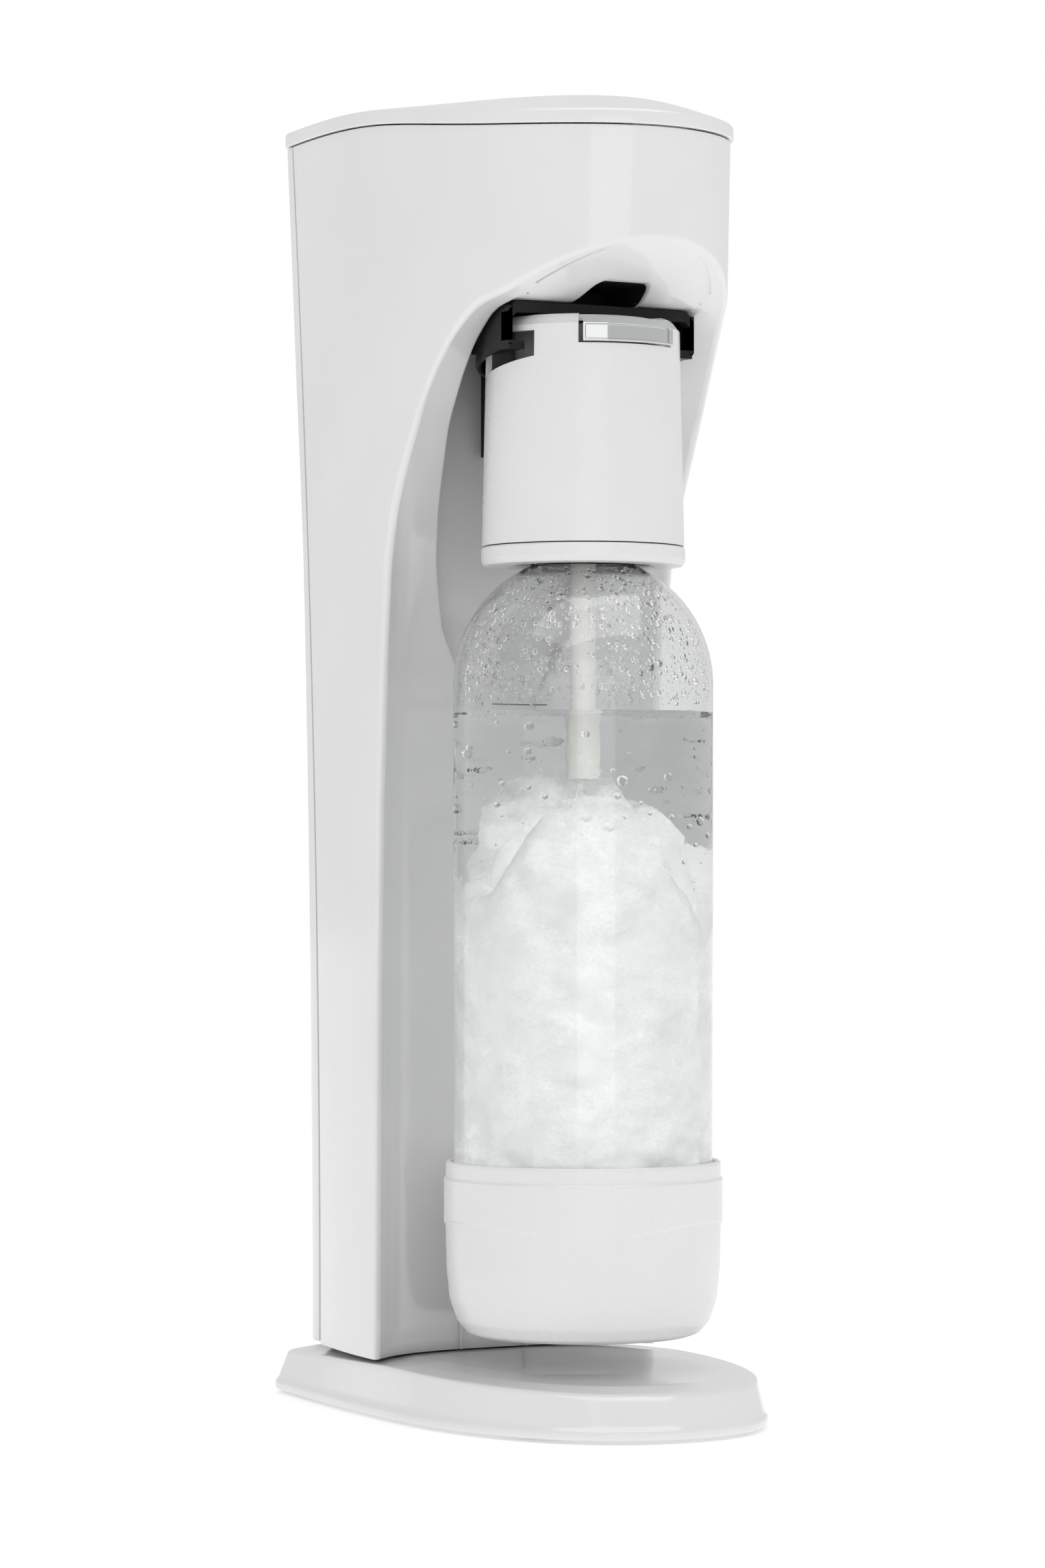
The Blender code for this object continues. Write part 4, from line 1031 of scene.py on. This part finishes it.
def make_water():
    """The water, with a rippled top; it reaches a hair into the bottle's wall."""
    overlap, columns = 0.0003, 144
    turn = np.linspace(0, 2 * math.pi, columns, endpoint=False)[:, None]
    heights = np.concatenate([np.linspace(FOOT_Z - BOTTLE_R + 0.0022, FOOT_Z - 0.02, 12),
                              np.linspace(FOOT_Z - 0.02, FOOT_Z, 12)[1:],
                              np.linspace(FOOT_Z, WATER_Z - 0.002, 40)[1:]])
    side_r = inner_radius(heights) + overlap
    side = at(side_r * np.cos(turn), side_r * np.sin(turn), heights)
    top_r = (inner_radius(WATER_Z) + overlap) * np.linspace(1, 0, 30) ** 0.8
    calm = smooth_step(top_r[0] - top_r, -0.001, 0.006)
    top_z = WATER_Z + waves(turn, top_r[None, :], 4, 0.0011) * calm + 0.0006 * (1 - calm)
    top = at(top_r * np.cos(turn), top_r * np.sin(turn), top_z)
    bottom = at(0 * turn, 0 * turn, heights[0])
    return sheet_mesh("water", np.concatenate([bottom, side, top], axis=1), wrap_rows=True,
                      angle=80)


def make_froth(name, share, low, high, seed, columns=120, rows=110):
    """A churning skin of bubbles in the water, at a share of the bottle's radius."""
    turn = np.linspace(0, 2 * math.pi, columns, endpoint=False)[:, None]
    t = np.linspace(0, 1, rows)[None, :]
    edge = high + 0.012 * np.sin(turn * 2 + seed) + 0.006 * np.sin(turn * 5 + 2 * seed)
    z = low + (edge - low) * t
    draw = random.Random(seed)
    bumps = np.zeros(z.shape)
    for _ in range(40):
        count = draw.randint(2, 15)
        pitch = draw.uniform(0.006, 0.030)
        phase, slant = draw.uniform(0, 6.28), draw.uniform(-1, 1)
        bumps += np.sin(turn * count + slant * z / pitch * 3 + phase) * np.sin(
            z * 2 * math.pi / pitch + phase * 2) / 6
    closing = np.sqrt(np.clip(1 - np.abs(2 * t - 1) ** 10, 0, 1))
    radius = (inner_radius(z) - 0.0022) * share * closing + 0.0009 * bumps * closing
    return sheet_mesh(name, at(radius * np.cos(turn), radius * np.sin(turn), z), wrap_rows=True,
                      angle=180)


def ball_mesh():
    bm = bmesh.new()
    bmesh.ops.create_icosphere(bm, subdivisions=2, radius=1.0)
    points = np.array([v.co[:] for v in bm.verts])
    faces = [[v.index for v in f.verts] for f in bm.faces]
    bm.free()
    return points, faces


def many_balls(name, spots):
    """One mesh of small balls; each spot is (centre, (rx, ry, rz) along its own axes, axes)."""
    unit_points, unit_faces = ball_mesh()
    points, faces = [], []
    for centre, radii, axes in spots:
        base = len(points)
        scaled = unit_points * np.array(radii)
        points.extend((scaled @ axes) + np.array(centre))
        faces.extend([[base + i for i in face] for face in unit_faces])
    mesh = bpy.data.meshes.new(name)
    mesh.from_pydata([tuple(p) for p in points], [], faces)
    mesh.shade_smooth()
    obj = bpy.data.objects.new(name, mesh)
    bpy.context.scene.collection.objects.link(obj)
    return obj


def make_droplets():
    """Drops on the inside of the dome and the upper wall: flattened, and longer downwards."""
    draw = random.Random(21)
    spots = []
    for _ in range(2600):
        z = WATER_Z + 0.004 + (0.277 - WATER_Z - 0.004) * draw.random()
        turn = draw.uniform(0, 2 * math.pi)
        size = min(0.00020 + 0.00080 * draw.random() ** 4 + 0.0001 * draw.random(), 0.0010)
        radius = float(inner_radius(z))
        lift = max(z - DOME_Z, 0.0)
        normal = np.array([radius * math.sin(turn), -radius * math.cos(turn), lift])
        normal /= np.linalg.norm(normal)
        side = np.array([math.cos(turn), math.sin(turn), 0.0])
        down = np.cross(normal, side)
        centre = at(radius * math.cos(turn), radius * math.sin(turn), z) - normal * size * 0.45
        long = 1.0 + 0.35 * draw.random()
        spots.append((centre, (size, size * long, size * 0.5),
                      np.stack([side, down, normal])))
    return many_balls("droplets", spots)


def make_bubbles(name, seed, count, low, high, most, power):
    """Loose bubbles in the water, mostly near the wall."""
    draw = random.Random(seed)
    spots = []
    for _ in range(count):
        z = low + (high - low) * draw.random() ** power
        size = 0.00018 + most * draw.random() ** 4
        radius = (float(inner_radius(z)) - 0.0008 - size) * math.sqrt(draw.uniform(0.45, 1.0))
        turn = draw.uniform(0, 2 * math.pi)
        flat = draw.uniform(0.75, 1.0)
        spots.append((at(radius * math.cos(turn), radius * math.sin(turn), z),
                      (size, size, size * flat), np.eye(3)))
    return many_balls(name, spots)


def make_cup():
    """The cup, with a raised band whose lower edge runs in waves."""
    low, columns = CUP_BOTTOM, 192
    outer = [(0.0, low), (0.0345, low), (0.0380, 0.0292), (0.0412, 0.0330), (0.0436, 0.0400),
             (0.0446, 0.0500), (0.0449, 0.0638), (0.0449, CUP_TOP - 0.0008), (0.0446, CUP_TOP),
             (0.0434, CUP_TOP)]
    inner = [(0.0431, CUP_TOP - 0.0004), (0.0431, 0.0700), (0.0412, 0.0560), (0.0310, 0.0382),
             (0.0150, 0.0305), (0.0, 0.0305)]
    knots = np.array(outer + inner)[None]
    line = softened(knots, 0.0003, 0.0006)[0]
    line[:, 0] = np.maximum(line[:, 0], 0.0)
    turn = np.linspace(0, 2 * math.pi, columns, endpoint=False)[:, None]
    radius = np.broadcast_to(line[None, :, 0], (columns, len(line))).copy()
    z = np.broadcast_to(line[None, :, 1], radius.shape)
    edge = 0.0643 - 0.0018 * np.cos(turn * 3 + 1.57)
    band = smooth_step(z, edge - 0.0004, edge + 0.0004) * smooth_step(0.0797 - z, 0.0, 0.0007)
    is_outer = np.arange(len(line))[None, :] < np.argmax(line[:, 1])
    radius += 0.0006 * band * is_outer
    return sheet_mesh("cup_moulding", at(radius * np.cos(turn), radius * np.sin(turn), z),
                      wrap_rows=True, angle=70)


def make_fill_line():
    """A plain fill mark: a thin printed line on the back of the bottle."""
    turn = np.radians(np.linspace(76, 106, 24))[:, None] + math.pi / 2
    radius = np.array([BOTTLE_R + 0.00002, BOTTLE_R + 0.00006, BOTTLE_R + 0.00006,
                       BOTTLE_R + 0.00002])[None, :]
    z = DOME_Z - 0.0056 + np.array([0.0, 0.0, 0.0004, 0.0004])[None, :]
    loops = at(radius * np.cos(turn), radius * np.sin(turn), z)
    return swept_mesh("fill_line", loops, angle=30)


# ---------------------------------------------------------------- materials
def new_material(name):
    made = bpy.data.materials.new(name)
    made.use_nodes = True
    return made, made.node_tree, made.node_tree.nodes["Principled BSDF"]


def node(tree, kind, **values):
    made = tree.nodes.new(kind)
    for key, value in values.items():
        if hasattr(made, key):
            setattr(made, key, value)
        else:
            made.inputs[key.replace("_", " ")].default_value = value
    return made


def noise(tree, scale, detail=4.0, stretch=(1, 1, 1), roughness=0.5):
    """A noise texture in the frame's metres, stretched along its axes."""
    place = node(tree, "ShaderNodeTexCoord")
    mapping = node(tree, "ShaderNodeMapping")
    mapping.inputs["Scale"].default_value = stretch
    grain = node(tree, "ShaderNodeTexNoise", Scale=scale, Detail=detail, Roughness=roughness)
    tree.links.new(place.outputs["Object"], mapping.inputs["Vector"])
    tree.links.new(mapping.outputs["Vector"], grain.inputs["Vector"])
    return grain.outputs["Fac"]


def ranged(tree, value, low, high, start=0.3, end=0.7):
    """A value carried from one range to another."""
    made = node(tree, "ShaderNodeMapRange")
    made.inputs["From Min"].default_value = start
    made.inputs["From Max"].default_value = end
    made.inputs["To Min"].default_value = low
    made.inputs["To Max"].default_value = high
    tree.links.new(value, made.inputs["Value"])
    return made.outputs["Result"]


def tinted(tree, value, dark, light):
    """A colour between two, by a value."""
    made = node(tree, "ShaderNodeMix", data_type="RGBA")
    sockets = [s for s in made.inputs if s.type == "RGBA"]
    sockets[0].default_value = (*dark, 1)
    sockets[1].default_value = (*light, 1)
    tree.links.new(value, made.inputs[0])
    return [s for s in made.outputs if s.type == "RGBA"][0]


def bumped(tree, value, distance, strength=0.5, before=None):
    made = node(tree, "ShaderNodeBump")
    made.inputs["Strength"].default_value = strength
    made.inputs["Distance"].default_value = distance
    tree.links.new(value, made.inputs["Height"])
    if before is not None:
        tree.links.new(before, made.inputs["Normal"])
    return made.outputs["Normal"]


def moulded(name, dark, light, rough=(0.1, 0.16), peel=0.00001, grain=0.000002, coat=0.0,
            metallic=0.0, specular=0.5):
    """Moulded plastic or plain metal: mottled colour, worn gloss, orange peel and fine grain."""
    made, tree, shader = new_material(name)
    broad = noise(tree, 22, 3)
    fine = noise(tree, 900, 3)
    ripple = noise(tree, 160, 2)
    tree.links.new(tinted(tree, ranged(tree, broad, 0, 1), dark, light), shader.inputs["Base Color"])
    worn = noise(tree, 60, 5)
    tree.links.new(ranged(tree, worn, *rough), shader.inputs["Roughness"])
    first = bumped(tree, ripple, peel)
    tree.links.new(bumped(tree, fine, grain, before=first), shader.inputs["Normal"])
    shader.inputs["Coat Weight"].default_value = coat
    shader.inputs["Coat Roughness"].default_value = 0.06
    shader.inputs["Metallic"].default_value = metallic
    shader.inputs["Specular IOR Level"].default_value = specular
    return made


def drawn_metal(name, dark, light, rough, stretch, depth=0.000012):
    """Metal with fine lines along one way, from drawing or turning."""
    made, tree, shader = new_material(name)
    lines = noise(tree, 420, 4, stretch)
    patches = noise(tree, 35, 4)
    tree.links.new(tinted(tree, ranged(tree, lines, 0, 1), dark, light), shader.inputs["Base Color"])
    tree.links.new(ranged(tree, patches, *rough), shader.inputs["Roughness"])
    tree.links.new(bumped(tree, lines, depth), shader.inputs["Normal"])
    shader.inputs["Metallic"].default_value = 1.0
    return made


def clear(name, ior, rough, tint=(1, 1, 1), bump=None, distance=0.0001, specular=0.5):
    """A clear material with a faint ripple in its surface."""
    made, tree, shader = new_material(name)
    streaks = noise(tree, 30, 3, (1, 1, 0.25))
    tree.links.new(tinted(tree, ranged(tree, streaks, 0, 1), [c * 0.985 for c in tint], tint),
                   shader.inputs["Base Color"])
    tree.links.new(ranged(tree, noise(tree, 90, 4), rough * 0.6, rough * 1.4),
                   shader.inputs["Roughness"])
    shader.inputs["Transmission Weight"].default_value = 1.0
    shader.inputs["IOR"].default_value = ior
    shader.inputs["Specular IOR Level"].default_value = specular
    if bump:
        tree.links.new(bumped(tree, noise(tree, bump, 4), distance, 0.6), shader.inputs["Normal"])
    return made


def froth_with_painted_glow(name, most, scale):
    """Milky wisps of bubbles: denser towards the foot, with clear gaps between them, and a faint
    painted glow that brightens them beyond their lighting.
    """
    made, tree, shader = new_material(name)
    place = node(tree, "ShaderNodeTexCoord")
    split = node(tree, "ShaderNodeSeparateXYZ")
    tree.links.new(place.outputs["Object"], split.inputs["Vector"])
    rise = ranged(tree, split.outputs["Z"], 0.95, -0.45, 0.185, 0.224)
    wisps = ranged(tree, noise(tree, scale, 8, (1, 1, 1.3), 0.62), -0.75, 0.75, 0.3, 0.7)
    total = node(tree, "ShaderNodeMath", operation="ADD")
    tree.links.new(rise, total.inputs[0])
    tree.links.new(wisps, total.inputs[1])
    cover = ranged(tree, total.outputs[0], 0.0, most, 0.0, 1.0)
    tree.links.new(cover, shader.inputs["Alpha"])
    cells = node(tree, "ShaderNodeTexVoronoi", Scale=scale * 5)
    tree.links.new(place.outputs["Object"], cells.inputs["Vector"])
    tree.links.new(tinted(tree, ranged(tree, noise(tree, scale * 2, 5), 0, 1), (0.78, 0.79, 0.79),
                          (0.95, 0.96, 0.96)), shader.inputs["Base Color"])
    first = bumped(tree, noise(tree, scale * 3, 6), 0.0012, 0.9)
    tree.links.new(bumped(tree, cells.outputs["Distance"], 0.0004, 0.7, first),
                   shader.inputs["Normal"])
    shader.inputs["Roughness"].default_value = 0.12
    shader.inputs["Subsurface Weight"].default_value = 0.4
    shader.inputs["Subsurface Radius"].default_value = (0.01, 0.01, 0.01)
    # A faint emission: painted light that makes the froth glow brighter than the lamps through the
    # bottle would light it.
    shader.inputs["Emission Color"].default_value = (1, 1, 1, 1)
    shader.inputs["Emission Strength"].default_value = 0.22
    return made


WHITE = moulded("white_gloss", (0.775, 0.775, 0.78), (0.805, 0.805, 0.81), (0.09, 0.15), coat=0.25)
WHITE_SATIN = moulded("white_satin", (0.77, 0.77, 0.773), (0.80, 0.80, 0.802), (0.24, 0.32),
                      peel=0.00003)
BLACK = moulded("black_satin", (0.008, 0.008, 0.009), (0.016, 0.016, 0.017), (0.26, 0.4),
                peel=0.00003, grain=0.00001, specular=0.18)
GREY = moulded("grey_matt", (0.30, 0.30, 0.31), (0.38, 0.38, 0.39), (0.4, 0.55), grain=0.00001)
CHROME = moulded("chrome_plate", (0.55, 0.56, 0.56), (0.62, 0.63, 0.63), (0.03, 0.07),
                 peel=0.000006, grain=0.000001, metallic=1.0)
STEEL = drawn_metal("drawn_steel", (0.50, 0.50, 0.52), (0.66, 0.66, 0.68), (0.22, 0.34), (1, 1, 6))
BRASS = drawn_metal("turned_brass", (0.62, 0.46, 0.22), (0.80, 0.62, 0.32), (0.22, 0.36), (1, 1, 8))
RUBBER = moulded("seal_rubber", (0.018, 0.018, 0.018), (0.035, 0.035, 0.035), (0.6, 0.8),
                 peel=0.00004, grain=0.00002)
NATURAL = moulded("natural_plastic", (0.80, 0.80, 0.75), (0.88, 0.88, 0.84), (0.3, 0.4),
                  grain=0.00001)
CAST = moulded("cast_zinc", (0.42, 0.42, 0.43), (0.56, 0.56, 0.57), (0.4, 0.55), peel=0.00006,
               grain=0.00003, metallic=1.0)
ALLOY = drawn_metal("tank_alloy", (0.52, 0.54, 0.56), (0.68, 0.70, 0.72), (0.26, 0.38), (1, 1, 9))
PET = clear("clear_pet", 1.40, 0.010, (0.985, 0.99, 0.99))
WATER = clear("water_clear", 1.333, 0.006, (0.97, 0.98, 0.98), bump=55, distance=0.0009)
DROP = clear("water_drop", 1.333, 0.004, (0.99, 0.99, 0.99))
BUBBLE = clear("gas_bubble", 1.25, 0.02, (1.0, 1.0, 1.0))
PRINT = moulded("fill_line_print", (0.05, 0.05, 0.055), (0.09, 0.09, 0.095), (0.4, 0.5))
SLOT_MATERIALS = {"white_abs": WHITE, "black_plastic": BLACK, "grey_plastic": GREY,
                  "chrome": CHROME, "steel": STEEL, "brass": BRASS, "seal_rubber": RUBBER,
                  "clear_bottle": PET, "natural_plastic": NATURAL, "zinc_casting": CAST,
                  "cylinder_alloy": ALLOY}


# ---------------------------------------------------------------- putting pieces on the frame
def dress(piece, body, made, slot, *nodes):
    """The piece rides on a body, wears a material and stands for its CAD nodes."""
    if not piece.data.materials:
        piece.data.materials.append(made)
    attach(piece, body)
    piece.visible_shadow = slot != "clear_bottle"
    if nodes:
        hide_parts(*nodes)
    return piece


def dress_cad_nodes():
    """CAD nodes that stay take a material by the record's slots."""
    for part in frame["record"]["subparts"]:
        obj = frame["nodes"][part["node"]]
        obj.data.materials.clear()
        obj.data.materials.append(SLOT_MATERIALS[part["material_slot"]])
        obj.data.shade_smooth()
        obj.data.set_sharp_from_angle(angle=math.radians(30))


def make_gas_supply():
    low = TANK_LOW.z
    tank = turned("tank",
                  [(0.0085, 0.3330), (0.0125, 0.3330), (0.0130, 0.3270), (0.0215, 0.3170),
                   (0.0275, 0.3050), (CYLINDER_R, 0.2900), (CYLINDER_R, low + 0.006),
                   (0.0270, low), (0.0, low), (0.0, low + 0.004), (0.0255, low + 0.006),
                   (0.0275, low + 0.010), (0.0275, 0.2890), (0.0190, 0.3140), (0.0085, 0.3240)],
                  forward=CYLINDER_F, sigma=0.0012, spacing=0.0006)
    dress(tank, "gas_cylinder", ALLOY, "cylinder_alloy", "gas_cylinder")
    valve_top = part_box("cylinder_valve")[1].z
    valve = turned("tank_valve",
                   [(0.0026, valve_top), (0.0108, valve_top), (0.0112, valve_top - 0.0005),
                    (0.0112, 0.3560), (0.0150, 0.3550), (0.0150, 0.3400), (0.0118, 0.3380),
                    (0.0118, 0.3334), (0.0081, 0.3334), (0.0081, 0.3250), (0.0, 0.3250),
                    (0.0, 0.3660), (0.0026, 0.3660)], forward=CYLINDER_F, columns=96,
                   sigma=0.0002, spacing=0.0003)
    dress(valve, "gas_cylinder", BRASS, "brass", "cylinder_valve")


def make_pieces():
    dress(make_base(), "machine", WHITE, "white_abs", "base_plate")
    dress(make_body_casing(), "machine", WHITE, "white_abs", "body_shell")
    panel = make_front_panel()
    panel.data.materials.append(WHITE)
    # The window's inside takes the black material as painted shade.
    paint_window_shade(panel, BLACK)
    dress(panel, "machine", WHITE, "white_abs", "front_fascia")
    dress(make_rear_casing(), "rear_cover", WHITE, "white_abs", "rear_cover")
    dress(make_top_casing(), "machine", WHITE, "white_abs", "top_cover")
    dress(make_button(), "button", WHITE, "white_abs", "carbonating_button")
    spring = dress(make_spring(), "machine", STEEL, "steel", "button_spring")
    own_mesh(spring)
    dress(make_carriage(), "machine", BLACK, "black_plastic", "carriage")
    dress(make_sleeve(), "infuser", WHITE_SATIN, "white_abs", "infuser_sleeve")
    dress(make_ring(), "infuser", WHITE_SATIN, "white_abs", "infuser_ring")
    tube_low, tube_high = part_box("dip_tube")
    tube = turned("dip_tube_fine", [(0.0039, tube_high.z), (0.0042, tube_high.z - 0.0004),
                                    (0.0042, tube_low.z + 0.0004), (0.0040, tube_low.z),
                                    (0.0031, tube_low.z), (0.0030, tube_low.z + 0.0004),
                                    (0.0030, tube_high.z)], columns=64, sigma=0.00015,
                  spacing=0.0003)
    dress(tube, "infuser", NATURAL, "natural_plastic", "dip_tube")
    dress(make_release_lever(), "release_lever", CHROME, "chrome", "release_lever")
    dress(make_bottle(), "bottle", PET, "clear_bottle", "bottle")
    dress(make_cup(), "bottle", WHITE_SATIN, "white_abs", "bottle_cup")
    dress(make_water(), "bottle", WATER, "clear_bottle")
    dress(make_froth("froth_outer", 0.985, 0.062, 0.186, 3), "bottle",
          froth_with_painted_glow("froth_wisps", 0.85, 42), "clear_bottle")
    dress(make_froth("froth_inner", 0.72, 0.066, 0.200, 8), "bottle",
          froth_with_painted_glow("froth_core", 0.95, 34), "clear_bottle")
    dress(make_droplets(), "bottle", DROP, "clear_bottle")
    dress(make_bubbles("bubbles_fine", 5, 900, 0.075, 0.215, 0.0011, 1.5), "bottle", BUBBLE,
          "clear_bottle")
    dress(make_bubbles("bubbles_rising", 6, 90, 0.190, 0.228, 0.0018, 0.8), "bottle", BUBBLE,
          "clear_bottle")
    dress(make_fill_line(), "bottle", PRINT, "clear_bottle")
    make_gas_supply()


# ---------------------------------------------------------------- stage, light and camera
def make_floor():
    size = 14.0
    bpy.ops.mesh.primitive_grid_add(x_subdivisions=8, y_subdivisions=8, size=size,
                                    location=(0, 0, -0.0002))
    floor = bpy.context.object
    floor.name = "floor"
    made, tree, shader = new_material("pale_floor")
    tree.links.new(tinted(tree, ranged(tree, noise(tree, 3, 3), 0, 1), (0.93, 0.93, 0.93),
                          (0.95, 0.95, 0.95)), shader.inputs["Base Color"])
    shader.inputs["Roughness"].default_value = 0.6
    shader.inputs["Emission Color"].default_value = (1, 1, 1, 1)
    shader.inputs["Emission Strength"].default_value = 0.30
    floor.data.materials.append(made)


def area_light(name, place, target, size, power, tall=None):
    data = bpy.data.lights.new(name, "AREA")
    data.energy = power
    data.shape = "RECTANGLE"
    data.size = size
    data.size_y = tall or size
    obj = bpy.data.objects.new(name, data)
    obj.location = place
    obj.rotation_euler = (Vector(target) - Vector(place)).to_track_quat("-Z", "Y").to_euler()
    bpy.context.scene.collection.objects.link(obj)
    return obj


ROOM_LIGHT = 0.75            # brightness of the room, as the object sees it


def make_light():
    world = bpy.data.worlds.new("studio")
    bpy.context.scene.world = world
    world.use_nodes = True
    tree = world.node_tree
    back = tree.nodes["Background"]
    back.inputs["Color"].default_value = (1, 1, 1, 1)
    path = node(tree, "ShaderNodeLightPath")
    tree.links.new(ranged(tree, path.outputs["Is Camera Ray"], ROOM_LIGHT, 1.0, 0.0, 1.0),
                   back.inputs["Strength"])
    softbox = area_light("softbox", (-0.30, AXIS_Y - 0.65, 1.30), (-0.30, AXIS_Y - 0.651, 0),
                         2.0, 14, tall=1.2)
    softbox.visible_diffuse = False
    area_light("front_fill", (-0.55, -1.6, 0.30), (0, AXIS_Y, 0.18), 1.0, 2.4)
    area_light("overhead", (0.1, AXIS_Y, 1.35), (0.1, AXIS_Y - 0.001, 0), 0.8, 2)


def make_camera():
    """The camera: left of the machine's front and a little below its middle."""
    azimuth, distance, aside, height = math.radians(30), 1.590, 0.0198, 0.186
    focal, pitch = 111.73, math.atan(99 / 7300)
    toward = Vector((-math.sin(azimuth), -math.cos(azimuth), 0))
    right = Vector((math.cos(azimuth), -math.sin(azimuth), 0))
    data = bpy.data.cameras.new("camera")
    data.lens = focal
    data.sensor_width = 36
    camera = bpy.data.objects.new("camera", data)
    camera.location = Vector((0, AXIS_Y, height)) + toward * distance - right * aside
    look = -toward * math.cos(pitch) + Vector((0, 0, math.sin(pitch)))
    camera.rotation_euler = look.to_track_quat("-Z", "Y").to_euler()
    bpy.context.scene.collection.objects.link(camera)
    bpy.context.scene.camera = camera
    bpy.context.scene.view_settings.view_transform = "Standard"


make_camera()
make_light()
make_floor()
dress_cad_nodes()
make_pieces()
